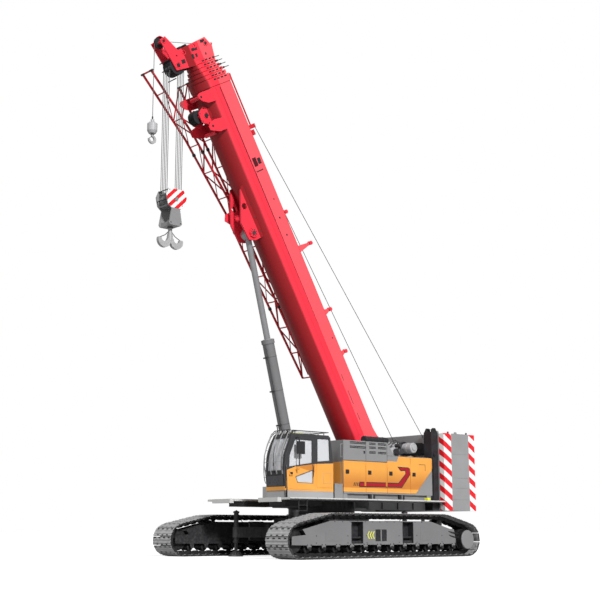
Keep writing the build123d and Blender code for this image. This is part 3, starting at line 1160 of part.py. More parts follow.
cab_pillar = max(y for y, _ in CAB_DOOR)
with BuildPart() as cab_shell:
    plate(CAB_SIDE, CAB_INNER, CAB_OUTER)
    plate(CAB_SIDE, CAB_INNER + CAB_WALL, CAB_OUTER - CAB_WALL, mode=Mode.SUBTRACT, margin=CAB_WALL)
    plate(CAB_DOOR, CAB_OUTER - CAB_WALL, CAB_OUTER, mode=Mode.SUBTRACT)
    plate(REAR_LIGHT, CAB_OUTER - CAB_WALL, CAB_OUTER, mode=Mode.SUBTRACT)
    plate(RIGHT_LIGHT, CAB_INNER, CAB_INNER + CAB_WALL, mode=Mode.SUBTRACT)
    box(FRONT_GLASS_X, FRONT_CUT_Y, (FRONT_GLASS[0][1], FRONT_GLASS[-1][1]), mode=Mode.SUBTRACT)
    box(FRONT_GLASS_X, REAR_PANE_Y, REAR_PANE_Z, mode=Mode.SUBTRACT)
    box((CAB_INNER + CAB_BASE_INSET, CAB_OUTER - CAB_BASE_INSET), CAB_BASE_Y, (DECK_TOP, CAB_BOTTOM))
    box((CAB_OUTER, CAB_OUTER + LATCH_SIZE[2]), *LOUVRED_PANEL)
    box((CAB_INNER + HATCH_INSET, CAB_OUTER - HATCH_INSET), HATCH_Y, (CAB_TOP, CAB_TOP + HATCH_RISE))
save(cab_shell.part, "cab_shell")

with BuildPart() as cab_door:
    plate(CAB_DOOR, CAB_OUTER - CAB_WALL, CAB_OUTER, margin=CAB_GAP)
    for light in (DOOR_WINDOW, DOOR_LIGHT):
        plate(light, CAB_OUTER - CAB_WALL, CAB_OUTER, mode=Mode.SUBTRACT)
    for z in CAB_HINGES:
        post((CAB_OUTER + HINGE_RADIUS, cab_pillar - CAB_GAP), HINGE_RADIUS, z, z + HINGE_HEIGHT)
        box((CAB_OUTER, CAB_OUTER + HINGE_RADIUS / 2), (cab_pillar - CAB_GAP - HINGE_LEAF, cab_pillar - CAB_GAP),
            (z, z + HINGE_HEIGHT))
    box((CAB_OUTER, CAB_OUTER + HANDLE_PROUD), HANDLE_Y, HANDLE_Z)
    box((CAB_OUTER + MIRROR_OUT, CAB_OUTER + MIRROR_OUT + MIRROR_THICK), MIRROR_Y, MIRROR_Z)
    for z in MIRROR_ARMS:
        box((CAB_OUTER, CAB_OUTER + MIRROR_OUT + MIRROR_BAR), MIRROR_BAR_Y, (z, z + MIRROR_BAR))
    box((CAB_OUTER + MIRROR_OUT + MIRROR_BAR / 3, CAB_OUTER + MIRROR_OUT + MIRROR_BAR * 4 / 3), MIRROR_BAR_Y,
        (MIRROR_ARMS[1], MIRROR_ARMS[0] + MIRROR_BAR))
save(cab_door.part, "cab_door")

with BuildPart() as cab_door_glass:
    for light in (DOOR_WINDOW, DOOR_LIGHT):
        plate(light, CAB_OUTER - GLASS_INSET - GLASS_THICK, CAB_OUTER - GLASS_INSET)
save(cab_door_glass.part, "cab_door_glass")

with BuildPart() as cab_windows:
    plate(REAR_LIGHT, CAB_OUTER - GLASS_INSET - GLASS_THICK, CAB_OUTER - GLASS_INSET)
    plate(RIGHT_LIGHT, CAB_INNER + GLASS_INSET, CAB_INNER + GLASS_INSET + GLASS_THICK)
    plate([(y + GLASS_INSET, z) for y, z in FRONT_GLASS]
          + [(y + GLASS_INSET + GLASS_THICK, z) for y, z in reversed(FRONT_GLASS)], *FRONT_GLASS_X)
    plate(REAR_PANE + [(y + GLASS_THICK, z) for y, z in reversed(REAR_PANE)], *FRONT_GLASS_X)
save(cab_windows.part, "cab_windows")

with BuildPart() as cab_seat:
    box(SEAT_X, *SEAT_CUSHION)
    plate(SEAT_BACK, *SEAT_X)
    plate(SEAT_HEAD, SEAT_X[0] + SEAT_HEAD_INSET, SEAT_X[1] - SEAT_HEAD_INSET)
    box((SEAT_X[0] + SEAT_FOOT_INSET, SEAT_X[1] - SEAT_FOOT_INSET), SEAT_FOOT_Y,
        (CAB_BOTTOM + CAB_WALL, SEAT_FOOT_TOP))
    for low in (SEAT_X[0] - CONSOLE_WIDTH, SEAT_X[1]):
        box((low, low + CONSOLE_WIDTH), *CONSOLE)
        box((low, low + CONSOLE_WIDTH), SEAT_FOOT_Y, (CAB_BOTTOM + CAB_WALL, CONSOLE_FOOT_TOP))
        post((low + CONSOLE_WIDTH / 2, LEVER_Y), *LEVER)
        post((low + CONSOLE_WIDTH / 2, LEVER_Y), *LEVER_KNOB)
save(cab_seat.part, "cab_seat")

guard_step = (CAB_OUTER - CAB_INNER - 2 * GUARD_INSET) / (GUARD_BARS - 1)
with BuildPart() as cab_guard:
    for bar in range(GUARD_BARS):
        x = CAB_INNER + GUARD_INSET + bar * guard_step
        plate(GUARD_LINE, x - GUARD_HALF, x + GUARD_HALF)
        for y in GUARD_FEET:
            box((x - GUARD_HALF, x + GUARD_HALF), (y, y + 2 * GUARD_HALF), (CAB_TOP, GUARD_TOP))
    for y, z in (GUARD_CROSS, *((foot + GUARD_HALF, GUARD_TOP - GUARD_HALF / 2) for foot in GUARD_FEET)):
        box((CAB_INNER + GUARD_INSET, CAB_OUTER - GUARD_INSET), (y - GUARD_HALF / 2, y + GUARD_HALF / 2),
            (z - GUARD_HALF / 2, z + GUARD_HALF / 2))
save(cab_guard.part, "cab_guard")
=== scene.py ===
"""Telescopic crawler crane: paint, fittings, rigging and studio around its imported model.

Metres. The crane faces -Y, +X is its left side (cab side) and +Z is up.
"""
import math

import bpy
from mathutils import Matrix, Vector


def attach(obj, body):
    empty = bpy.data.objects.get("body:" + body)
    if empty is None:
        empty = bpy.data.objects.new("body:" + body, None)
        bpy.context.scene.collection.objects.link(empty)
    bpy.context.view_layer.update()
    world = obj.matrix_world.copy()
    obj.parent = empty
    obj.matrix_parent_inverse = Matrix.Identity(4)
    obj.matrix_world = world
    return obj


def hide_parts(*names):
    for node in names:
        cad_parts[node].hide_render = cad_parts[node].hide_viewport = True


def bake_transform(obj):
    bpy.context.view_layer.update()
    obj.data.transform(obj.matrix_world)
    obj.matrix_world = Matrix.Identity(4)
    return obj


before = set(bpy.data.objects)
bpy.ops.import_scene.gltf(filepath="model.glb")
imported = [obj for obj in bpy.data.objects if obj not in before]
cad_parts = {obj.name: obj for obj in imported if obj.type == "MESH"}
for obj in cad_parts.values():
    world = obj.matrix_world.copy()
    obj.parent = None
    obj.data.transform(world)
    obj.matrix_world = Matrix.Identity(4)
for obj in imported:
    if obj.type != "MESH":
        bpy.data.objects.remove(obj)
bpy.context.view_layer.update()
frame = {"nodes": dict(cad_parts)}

bl_info = {
    "name": "Crawler Crane",
    "version": (1, 0, 0),
    "blender": (4, 5, 0),
    "location": "3D View > Sidebar > Crane",
    "description": "Paints and dresses a telescopic crawler crane",
    "category": "Object",
}

# Boom and cylinder lines, as in the solids
BOOM_LEAN = math.radians(59.75)
BOOM_FOOT = (2.53, 3.80)
BOOM_PIN = Vector((0, *BOOM_FOOT))
BOOM = Matrix.Translation(BOOM_PIN) @ Matrix.Rotation(-BOOM_LEAN, 4, "X")
CYL_FOOT = Vector((0, -1.175, 2.2))
# Boom's top and half width, then what each inner section loses and how far its collar stands out
BOOM_TOP = 0.06
BOOM_HALF = 0.51
SECTION_STEP = 0.044
BASE_END = 14.81
COLLAR_STEP = 0.15
# Deck's height and half width, the houses' sides and the seams of their doors
DECK = 1.95
DECK_HALF = 2.2
HOUSE_SIDE = 1.9
SEAMS = (-0.72, 0.36, 1.42, 2.62, 3.77)
# Inner and outer edge and middle of a track, and its frame's outer side
TRACK_IN = 2.52
TRACK_OUT = 3.62
TRACK_MID = 3.07
FRAME_SIDE = TRACK_MID + 0.33
SHOE_THICK = 0.075
# Corners of the ear plates, then their pin, as (along, rise)
GUIDE_EARS = (
    (((14.50, -0.86), (14.06, -0.92), (14.08, -1.30), (14.20, -1.53), (14.33, -1.64), (14.44, -1.65), (14.50, -1.52)),
     (14.35, -1.53)),
    (((13.45, -0.93), (13.03, -0.93), (13.03, -1.30), (13.19, -1.70), (13.33, -1.71), (13.45, -1.57), (13.49, -1.36)),
     (13.3, -1.53)))
# Pins and eyes on the boom, as (along, rise)
LUFF_EYE = (9.354, -1.531)
MAIN_PIN = (15.63, -1.69)
NOSE_PIN = (16.554, -1.886)
ROPE_PIN = (16.04, -0.16)
GUIDE_HUB = (-13.71, -1.41)
JIB_SIDES = (-1.12, -0.61)
MAIN_WINCH = (3.48, 3.89)
SECOND_WINCH = (3.30, 2.70)
PENDANT_FOOT = (1.27, 4.06, 4.25)
# Drops from the head's pins to the block and the ball, from the block to its hook, and the ball's height
BLOCK_DROP = 4.75
BALL_DROP = 2.78
HOOK_DROP = 0.90
BALL_HEIGHT = 0.49
POST_Y = 3.9875
DECK_UNDER = DECK - 0.07
SHOE_PITCH = 0.298
SHOE_COLUMNS = (-0.41, -0.137, 0.137, 0.41)
FRAME_COVERS = (((-2.95, 0.56), (-2.95, 0.84), (-2.25, 0.92), (-2.25, 0.56)),
                ((1.45, 0.56), (1.45, 1.02), (1.98, 1.02), (1.98, 0.56)))
FRAME_OPENINGS = (-1.555, 0.835)
ROLLER_YS = [-3.65 + index * 6.8 / 11 for index in range(12)]
# Low and high y of each louvre row in the hoods, and the rises of its slots
HOOD_LOUVRES = ((-0.41, 0.37, (3.875, 3.725)), (0.53, 0.86, (3.875, 3.74, 3.57)), (0.97, 1.39, (3.875, 3.74, 3.57)))
CORNERS = ("front_left", "front_right", "rear_left", "rear_right")
CAMERA_SPOT = (30.607, -28.177, 0.901)
# Name, direction, share of the key strength and width in degrees
LIGHTS = (("key", (1.0, -0.25, 0.60), 1.0, 9), ("front", (0.15, -1.0, 0.95), 0.2, 30))
# Along, rise, length and height of each opening in the head plates, painted black as shade
HEAD_OPENINGS = (
    (15.92, -0.62, 0.10, 0.26), (16.10, -0.16, 0.10, 0.20), (15.62, -1.34, 0.14, 0.16), (15.66, -0.88, 0.17, 0.10),
    (15.68, -0.72, 0.13, 0.08), (15.66, -0.30, 0.08, 0.05))
# Bolts of the hook block's cheeks, as (y, z) from its sheaves' pin
CHEEK_BOLTS = ((-0.27, 0.29), (0.27, 0.29), (-0.25, -0.2), (0.25, -0.2), (-0.19, -0.82), (0.19, -0.82))
# Wheels that the track loop runs round: y, z and radius of the shoe faces
WRAPS = ((-4.175, 0.575, 0.575), (-2.8, 1.115, 0.33), (2.57, 1.115, 0.33), (3.775, 0.575, 0.575))
SIDES = (("left", 1), ("right", -1))


def colour(name, description, default):
    """Colour property of a paint."""
    return bpy.props.FloatVectorProperty(name=name, description=description, subtype="COLOR", size=3, min=0, max=1,
                                         default=default)


def amount(name, description, default, **limits):
    """Number property with its kind and limits."""
    return bpy.props.FloatProperty(name=name, description=description, default=default, **limits)


class CranePaint(bpy.types.PropertyGroup):
    """Paint and finish colours"""
    boom: colour("Boom", "Boom paint", (0.78, 0.030, 0.055))
    jib: colour("Jib", "Stowed jib paint", (0.50, 0.012, 0.024))
    amber: colour("Body", "Cab and door paint", (0.76, 0.34, 0.065))
    grey: colour("House", "House and hood paint", (0.235, 0.236, 0.24))
    frame: colour("Frames", "Track and upper frame paint", (0.175, 0.175, 0.18))
    weight: colour("Counterweight", "Counterweight paint", (0.27, 0.27, 0.275))
    band_red: colour("Band red", "Red of the warning bands", (0.70, 0.012, 0.02))
    dark: colour("Dark", "Dark fittings", (0.022, 0.022, 0.025))


class CraneSizes(bpy.types.PropertyGroup):
    """Sizes of the rigging, the rails and the warning bands"""
    rope: amount("Rope radius", "Radius of the hoist ropes", 0.011, unit="LENGTH", min=0.004, max=0.03)
    band: amount("Band period", "Height of one red and white pair of stripes", 0.44, unit="LENGTH", min=0.1, max=1)
    rail: amount("Rail radius", "Radius of the hand rails", 0.017, unit="LENGTH", min=0.01, max=0.04)


class CraneStudio(bpy.types.PropertyGroup):
    """Camera and lights"""
    azimuth: amount("Camera azimuth", "Camera angle round the crane", math.radians(48.42), subtype="ANGLE")
    pitch: amount("Camera pitch", "Upward tilt of the camera", math.radians(11.316), subtype="ANGLE")
    lens: amount("Lens", "Focal length in millimetres", 68.98, min=10)
    key: amount("Key light", "Strength of the sun", 3.6, min=0)
    floor: amount("Floor lift", "Glow that keeps the floor white", 0.72, min=0)
    sky: amount("Sky light", "Strength of the even light", 0.32, min=0)


# Making and finishing pieces


def up_by(height):
    """Vector straight up."""
    return Vector((0, 0, height))


def deselect():
    """Leave nothing selected."""
    bpy.ops.object.select_all(action="DESELECT")


def only(obj):
    """Select one object alone."""
    deselect()
    obj.select_set(True)
    bpy.context.view_layer.objects.active = obj
    return obj


def applied(obj, modifier):
    """Apply one modifier of an object."""
    only(obj)
    bpy.ops.object.modifier_apply(modifier=modifier.name)
    return obj


def bevelled(obj, width):
    """Round the sharp edges of an object."""
    bevel = obj.modifiers.new("edges", "BEVEL")
    bevel.width = width
    bevel.segments = 1
    bevel.limit_method = "ANGLE"
    bevel.angle_limit = math.radians(40)
    return applied(obj, bevel)


def outward_faces(obj):
    """Merge doubles and turn all faces outwards."""
    only(obj)
    bpy.ops.object.mode_set(mode="EDIT")
    bpy.ops.mesh.select_all(action="SELECT")
    bpy.ops.mesh.remove_doubles(threshold=0.00002)
    bpy.ops.mesh.normals_make_consistent(inside=False)
    bpy.ops.object.mode_set(mode="OBJECT")
    return obj


def block(low, high, edge=0.004):
    """Box between two corners with broken edges."""
    deselect()
    middle = [(a + b) / 2 for a, b in zip(low, high)]
    bpy.ops.mesh.primitive_cube_add(size=1, location=middle)
    obj = bpy.context.object
    obj.scale = [abs(b - a) for a, b in zip(low, high)]
    bpy.ops.object.transform_apply(location=True, rotation=True, scale=True)
    return bevelled(obj, edge) if edge else obj


def slab(corners, depth, edge=0.003):
    """Flat outline given a depth along a vector, with broken edges."""
    deselect()
    bpy.ops.mesh.primitive_circle_add(vertices=len(corners), fill_type="NGON")
    obj = bpy.context.object
    for vertex, corner in zip(obj.data.vertices, corners):
        vertex.co = corner
    bpy.ops.object.mode_set(mode="EDIT")
    bpy.ops.mesh.select_all(action="SELECT")
    bpy.ops.mesh.extrude_region_move(TRANSFORM_OT_translate={"value": depth})
    bpy.ops.mesh.select_all(action="SELECT")
    bpy.ops.mesh.normals_make_consistent(inside=False)
    bpy.ops.object.mode_set(mode="OBJECT")
    return bevelled(obj, edge) if edge else obj


def side_slab(corners, x_low, x_high, edge=0.003):
    """Plate with a (y, z) outline between two x values."""
    return slab([(x_low, y, z) for y, z in corners], (x_high - x_low, 0, 0), edge)


def boom_slab(corners, x_low, x_high, edge=0.003):
    """Plate with an (along, rise) outline between two x values, in the boom's own axes."""
    return slab([(x_low, -distance, rise) for distance, rise in corners], (x_high - x_low, 0, 0), edge)


def sticker(corners, face, proud, edge=0):
    """Thin plate with a (y, z) outline that lies on a side face and stands proud of it, outwards."""
    return side_slab(corners, face, face + math.copysign(proud, face), edge)


def boom_sticker(corners, face, proud):
    """Thin plate like a sticker, with an (along, rise) outline."""
    return boom_slab(corners, face, face + math.copysign(proud, face), 0)


def rod(start, end, radius, sides=20, edge=0.003):
    """Round bar between two points with broken rims."""
    deselect()
    start = Vector(start)
    run = Vector(end) - start
    bpy.ops.mesh.primitive_cylinder_add(vertices=sides, radius=radius, depth=run.length, location=start + run / 2,
                                        rotation=run.to_track_quat("Z", "Y").to_euler())
    obj = bpy.context.object
    bpy.ops.object.transform_apply(location=True, rotation=True, scale=True)
    return bevelled(obj, min(edge, radius / 4)) if edge else obj


def axle(x_low, x_high, spot, radius, sides=20, edge=0.003):
    """Round bar across the crane between two x values, at a (y, z) spot."""
    return rod((x_low, *spot), (x_high, *spot), radius, sides, edge)


def ring(centre, axis, radius, thickness, sides=32, around=10):
    """Round ring with its axis along a vector."""
    deselect()
    bpy.ops.mesh.primitive_torus_add(major_radius=radius, minor_radius=thickness, major_segments=sides,
                                     minor_segments=around, location=centre,
                                     rotation=Vector(axis).to_track_quat("Z", "Y").to_euler())
    obj = bpy.context.object
    bpy.ops.object.transform_apply(location=True, rotation=True, scale=True)
    return obj


def tube(points, radius, curved=False, sides=3):
    """Bent round bar through some points, as a mesh."""
    data = bpy.data.curves.new("tube", "CURVE")
    data.dimensions = "3D"
    spline = data.splines.new("NURBS" if curved else "POLY")
    spline.points.add(len(points) - 1)
    for point, place in zip(spline.points, points):
        point.co = (*place, 1)
    if curved:
        spline.order_u = 3
        spline.use_endpoint_u = True
    data.bevel_depth = radius
    data.bevel_resolution = sides
    data.use_fill_caps = True
    data.resolution_u = 6
    obj = bpy.data.objects.new("tube", data)
    bpy.context.collection.objects.link(obj)
    only(obj)
    bpy.ops.object.convert(target="MESH")
    return outward_faces(bpy.context.object)


def side_tube(x, points, radius, curved=False):
    """Bent round bar through some (y, z) points at one x."""
    return tube([(x, y, z) for y, z in points], radius, curved)


def copied(obj, place):
    """Copy of an object with its own mesh, moved by a matrix."""
    twin = obj.copy()
    twin.data = obj.data.copy()
    twin.data.transform(place)
    bpy.context.collection.objects.link(twin)
    return twin


def joined(pieces):
    """One object from a list of them; a single object stays as it is."""
    if not isinstance(pieces, list):
        return pieces
    deselect()
    for obj in pieces:
        obj.select_set(True)
    bpy.context.view_layer.objects.active = pieces[0]
    if len(pieces) > 1:
        bpy.ops.object.join()
    return bpy.context.object


def repeated(obj, places):
    """An object copied to several places and joined, the first itself left out."""
    obj = joined(obj)
    twins = [copied(obj, place) for place in places]
    bpy.data.objects.remove(obj)
    return joined(twins)


def both_sides(obj):
    """An object with its mirror image on the crane's other side."""
    obj = joined(obj)
    twin = copied(obj, Matrix.Scale(-1, 4, (1, 0, 0)))
    outward_faces(twin)
    return joined([obj, twin])


def shifts(steps):
    """Matrices that move by each vector."""
    return [Matrix.Translation(step) for step in steps]


def bolts(spots, axis, radius):
    """Hexagonal bolt heads on washers at some points, facing along a vector."""
    washer = rod((0, 0, -radius * 0.2), (0, 0, radius * 0.25), radius * 1.35, 12, 0)
    head = rod((0, 0, radius * 0.2), (0, 0, radius * 0.95), radius, 6, radius * 0.12)
    turn = Vector(axis).to_track_quat("Z", "Y").to_matrix().to_4x4()
    return repeated([washer, head], [Matrix.Translation(spot) @ turn for spot in spots])


def ring_spots(centre, axis, radius, count):
    """Points round a circle square to one of the main axes."""
    first, second = {"x": ((0, 1, 0), (0, 0, 1)), "y": ((1, 0, 0), (0, 0, 1)), "z": ((1, 0, 0), (0, 1, 0))}[axis]
    return [Vector(centre) + radius * (math.cos(step * math.tau / count) * Vector(first)
                                       + math.sin(step * math.tau / count) * Vector(second)) for step in range(count)]


def done(obj, name, body, paint, axes=None, replaces=(), soft=None, span=None):
    """Put a piece in the crane's axes, paint it, name it and hang it on its body, or leave it in place when it has a
    span.
    """
    obj = joined(obj)
    if axes is not None:
        obj.data.transform(axes)
    only(obj)
    bpy.ops.object.transform_apply(location=True, rotation=True, scale=True)
    if soft:
        bpy.ops.object.shade_smooth_by_angle(angle=math.radians(soft))
    obj.name = name
    obj.data.name = name
    obj.data.materials.clear()
    obj.data.materials.append(PAINTS[paint][0])
    if span:
        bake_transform(obj)
    else:
        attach(obj, body)
    if replaces:
        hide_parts(*replaces)
    return obj


def on_boom(distance, rise, x=0.0):
    """World point from a distance along the boom and a rise above its pivot line."""
    return BOOM @ Vector((x, -distance, rise))


# Shader groups and paints

PAINTS = {}
GROUPS = {}


def new_group(name, inputs, outputs):
    """Empty shader group with named sockets."""
    group = bpy.data.node_groups.new(name, "ShaderNodeTree")
    for label, kind, value in inputs:
        socket = group.interface.new_socket(label, in_out="INPUT", socket_type="NodeSocket" + kind)
        if value is not None:
            socket.default_value = value
    for label, kind in outputs:
        group.interface.new_socket(label, in_out="OUTPUT", socket_type="NodeSocket" + kind)
    return group, group.nodes.new("NodeGroupInput"), group.nodes.new("NodeGroupOutput")


def linked(group, kind, sockets=(), **settings):
    """New node in a group, with its inputs linked or set, in order of (input, source or value)."""
    node = group.nodes.new("ShaderNode" + kind)
    for key, value in settings.items():
        setattr(node, key, value)
    for where, source in sockets:
        if isinstance(source, bpy.types.NodeSocket):
            group.links.new(source, node.inputs[where])
        else:
            node.inputs[where].default_value = source
    return node


def mixed(tree, mask, first, second):
    """Colour chosen between two by a mask."""
    return linked(tree, "Mix", ((0, mask), (6, first), (7, second)), data_type="RGBA").outputs[2]


def combine(tree, operation, first, second):
    """Two numbers or masks put together."""
    return linked(tree, "Math", ((0, first), (1, second)), operation=operation).outputs[0]


def place_in(tree):
    """Object coordinates."""
    return linked(tree, "TexCoord").outputs["Object"]


def ramp(tree, value, low, high, start=0.0, end=1.0):
    """Number that runs from start to end while a value runs from low to high."""
    return linked(tree, "MapRange", (("Value", value), (1, low), (2, high), (3, start), (4, end))).outputs[0]


def noise(tree, place, scale, detail):
    """Noise at a scale."""
    return linked(tree, "TexNoise", (("Vector", place), ("Scale", scale), ("Detail", detail))).outputs[0]


def run_along(tree, place, direction):
    """Distance of a place along a direction."""
    return linked(tree, "VectorMath", ((0, place), (1, direction)), operation="DOT_PRODUCT").outputs["Value"]


def aged_paint():
    """Paint with soft tone shifts, dust that thins out with height, and fine orange peel."""
    group, given, out = new_group("aged paint",
                                  (("Paint", "Color", None), ("Dust", "Color", (0.30, 0.27, 0.23, 1)),
                                   ("Dust amount", "Float", 0.12), ("Dust height", "Float", 2.0),
                                   ("Tone shift", "Float", 0.08), ("Shine", "Float", 0.35)),
                                  (("Color", "Color"), ("Roughness", "Float"), ("Height", "Float")))
    place = place_in(group)
    broad = noise(group, place, 0.9, 4.0)
    fine = noise(group, place, 14.0, 6.0)
    peel = noise(group, place, 160.0, 2.0)
    high = linked(group, "SeparateXYZ", ((0, place),)).outputs["Z"]
    low = ramp(group, high, 0.0, given.outputs["Dust height"], 1.0, 0.0)
    speck = ramp(group, fine, 0.42, 0.72)
    mask = combine(group, "MULTIPLY", low, speck)
    mask = combine(group, "MULTIPLY", mask, given.outputs["Dust amount"])
    shift = ramp(group, broad, 0.3, 0.7, -1.0, 1.0)
    shift = linked(group, "Math", ((0, shift), (1, given.outputs["Tone shift"]), (2, 1.0)),
                   operation="MULTIPLY_ADD").outputs[0]
    toned = linked(group, "HueSaturation", (("Value", shift), ("Color", given.outputs["Paint"]))).outputs[0]
    dusty = mixed(group, mask, toned, given.outputs["Dust"])
    rough = linked(group, "Math", ((0, fine), (1, 0.18), (2, given.outputs["Shine"])),
                   operation="MULTIPLY_ADD").outputs[0]
    for label, source in (("Color", dusty), ("Roughness", rough), ("Height", peel)):
        group.links.new(source, out.inputs[label])
    return group


def worn_steel():
    """Dark steel, polished in patches, with a cast grain."""
    group, given, out = new_group("worn steel",
                                  (("Dark", "Color", (0.02, 0.02, 0.022, 1)), ("Bright", "Color", (0.2, 0.2, 0.2, 1)),
                                   ("Wear", "Float", 0.5), ("Grain", "Float", 40.0)),
                                  (("Color", "Color"), ("Roughness", "Float"), ("Height", "Float")))
    place = place_in(group)
    patch = linked(group, "TexNoise", (("Vector", place), ("Scale", 7.0), ("Detail", 8.0),
                                       ("Roughness", 0.65))).outputs[0]
    grain = noise(group, place, given.outputs["Grain"], 4.0)
    mask = ramp(group, patch, 0.35, 0.68)
    mask = combine(group, "MULTIPLY", mask, given.outputs["Wear"])
    tone = mixed(group, mask, given.outputs["Dark"], given.outputs["Bright"])
    rough = ramp(group, grain, 0.0, 1.0, 0.38, 0.66)
    for label, source in (("Color", tone), ("Roughness", rough), ("Height", grain)):
        group.links.new(source, out.inputs[label])
    return group


def leaning_stripes():
    """Two colours in slanting stripes, from the place along a direction."""
    group, given, out = new_group("leaning stripes",
                                  (("First", "Color", None), ("Second", "Color", None), ("Direction", "Vector", None),
                                   ("Period", "Float", 0.45), ("Start", "Float", 0.0)), (("Color", "Color"),))
    place = place_in(group)
    run = run_along(group, place, given.outputs["Direction"])
    turns = combine(group, "DIVIDE", run, given.outputs["Period"])
    turns = combine(group, "ADD", turns, given.outputs["Start"])
    share = linked(group, "Math", ((0, turns),), operation="FRACT").outputs[0]
    pick = combine(group, "GREATER_THAN", share, 0.5)
    tone = mixed(group, pick, given.outputs["First"], given.outputs["Second"])
    group.links.new(tone, out.inputs["Color"])
    return group


def beyond_line():
    """Mask that is one where the place, along a direction, is past a limit."""
    group, given, out = new_group("beyond line", (("Direction", "Vector", None), ("Limit", "Float", 0.0)),
                                  (("Mask", "Float"),))
    place = place_in(group)
    run = run_along(group, place, given.outputs["Direction"])
    past = linked(group, "Math", ((0, run), (1, given.outputs["Limit"])), operation="GREATER_THAN")
    group.links.new(past.outputs[0], out.inputs["Mask"])
    return group


def base_material(name, slot, metal=0.0, coat=0.0, shine=0.5, **sockets):
    """Material with a shader, kept under a name with its record slot."""
    material = bpy.data.materials.new(name)
    material.use_nodes = True
    tree = material.node_tree
    shader = tree.nodes["Principled BSDF"]
    shader.inputs["Metallic"].default_value = metal
    shader.inputs["Coat Weight"].default_value = coat
    shader.inputs["Coat Roughness"].default_value = 0.12
    shader.inputs["Specular IOR Level"].default_value = 0.3
    shader.inputs["Roughness"].default_value = shine
    for key, value in sockets.items():
        shader.inputs[key.replace("_", " ")].default_value = value
    PAINTS[name] = (material, slot)
    return tree, shader


def with_group(tree, group, **values):
    """A shader group placed in a material with its values."""
    node = tree.nodes.new("ShaderNodeGroup")
    node.node_tree = group
    for key, value in values.items():
        socket = node.inputs[key.replace("_", " ")]
        if isinstance(value, bpy.types.NodeSocket):
            tree.links.new(value, socket)
        else:
            socket.default_value = value
    return node


def surface(tree, shader, node, bump):
    """Feed a group's colour, roughness and height to a shader."""
    tree.links.new(node.outputs["Color"], shader.inputs["Base Color"])
    tree.links.new(node.outputs["Roughness"], shader.inputs["Roughness"])
    relief = linked(tree, "Bump", (("Strength", bump), ("Distance", 0.002), ("Height", node.outputs["Height"])))
    tree.links.new(relief.outputs[0], shader.inputs["Normal"])


def painted(name, slot, colour, dust=0.12, shine=0.30, coat=0.06, tone=0.06, height=2.2):
    """Painted metal with its dust and tone shifts."""
    tree, shader = base_material(name, slot, coat=coat)
    node = with_group(tree, GROUPS["paint"], Paint=(*colour, 1), Dust_amount=dust, Shine=shine, Tone_shift=tone,
                      Dust_height=height)
    surface(tree, shader, node, 0.05)
    return tree, node


def past(tree, direction, limit):
    """Mask that is one past a limit along a direction."""
    return with_group(tree, GROUPS["line"], Direction=direction, Limit=limit).outputs["Mask"]


def past_either(tree, limit):
    """Mask that is one past a limit on the left or on the right."""
    return combine(tree, "MAXIMUM", past(tree, (1, 0, 0), limit), past(tree, (-1, 0, 0), limit))


# Paints with colours of their own: name, slot, colour and the rest of its values
FIXED_PAINTS = (
    ("seam red", "boom_red", (0.07, 0.004, 0.008), {"dust": 0.0, "shine": 0.4}),
    ("trim red", "block_red", (0.34, 0.008, 0.018), {"dust": 0.05}),
    ("cover grey", "frame_grey", (0.20, 0.20, 0.205), {"dust": 0.1, "shine": 0.34}),
    ("barrel grey", "dark_steel", (0.165, 0.165, 0.17), {"dust": 0.05, "shine": 0.3}),
    ("deck white", "deck_white", (0.55, 0.55, 0.54), {"dust": 0.15, "shine": 0.4, "coat": 0.0}),
    ("dark fittings", "dark_steel", (0.045, 0.045, 0.048), {"dust": 0.15, "shine": 0.32, "coat": 0.1}),
    ("drum grey", "drum_grey", (0.40, 0.40, 0.41), {"dust": 0.1, "shine": 0.3}),
    ("block grey", "block_red", (0.24, 0.24, 0.245), {"dust": 0.0, "shine": 0.3}),
    ("band white", "block_red", (0.80, 0.80, 0.79), {"dust": 0.05, "shine": 0.25}),
    ("accent yellow", "amber_paint", (0.72, 0.72, 0.03), {"dust": 0.1, "shine": 0.3}),
    ("sill grey", "body_grey", (0.33, 0.33, 0.335), {"dust": 0.1}),
    ("pane grey", "dark_steel", (0.07, 0.07, 0.075), {"dust": 0.1, "shine": 0.2}),
)
# Steels: name, slot, dark and bright tone, wear, metal and grain
METALS = (
    ("track shoe", "track_steel", (0.34, 0.34, 0.345), (0.52, 0.52, 0.52), 0.7, 0.1, 30.0),
    ("track link", "track_steel", (0.018, 0.018, 0.019), (0.08, 0.08, 0.08), 0.5, 0.6, 40.0),
    ("cast hook", "black_steel", (0.34, 0.34, 0.345), (0.50, 0.50, 0.50), 0.5, 0.1, 50.0),
    ("dark wheel", "dark_steel", (0.018, 0.018, 0.019), (0.10, 0.10, 0.10), 0.6, 0.6, 40.0),
    ("galvanised", "bright_steel", (0.30, 0.30, 0.31), (0.48, 0.48, 0.48), 0.6, 0.3, 60.0),
    ("wire rope", "rope_steel", (0.03, 0.03, 0.032), (0.10, 0.10, 0.10), 0.7, 0.3, 90.0),
    ("bright rope", "rope_steel", (0.07, 0.07, 0.072), (0.10, 0.10, 0.10), 0.5, 0.2, 30.0),
)
# Name, slot, colour and roughness
SOFT_STUFF = (
    ("seat cover", "seat_black", (0.02, 0.02, 0.022), 0.7),
    ("rubber", "seat_black", (0.012, 0.012, 0.012), 0.5),
    ("cab lining", "seat_black", (0.30, 0.30, 0.31), 0.6),
)
# Name, slot, colour and glow
LAMPS = (("clear lamp", "window_glass", (0.8, 0.8, 0.78), 0.15), ("red lamp", "boom_red", (0.6, 0.01, 0.01), 0.3))


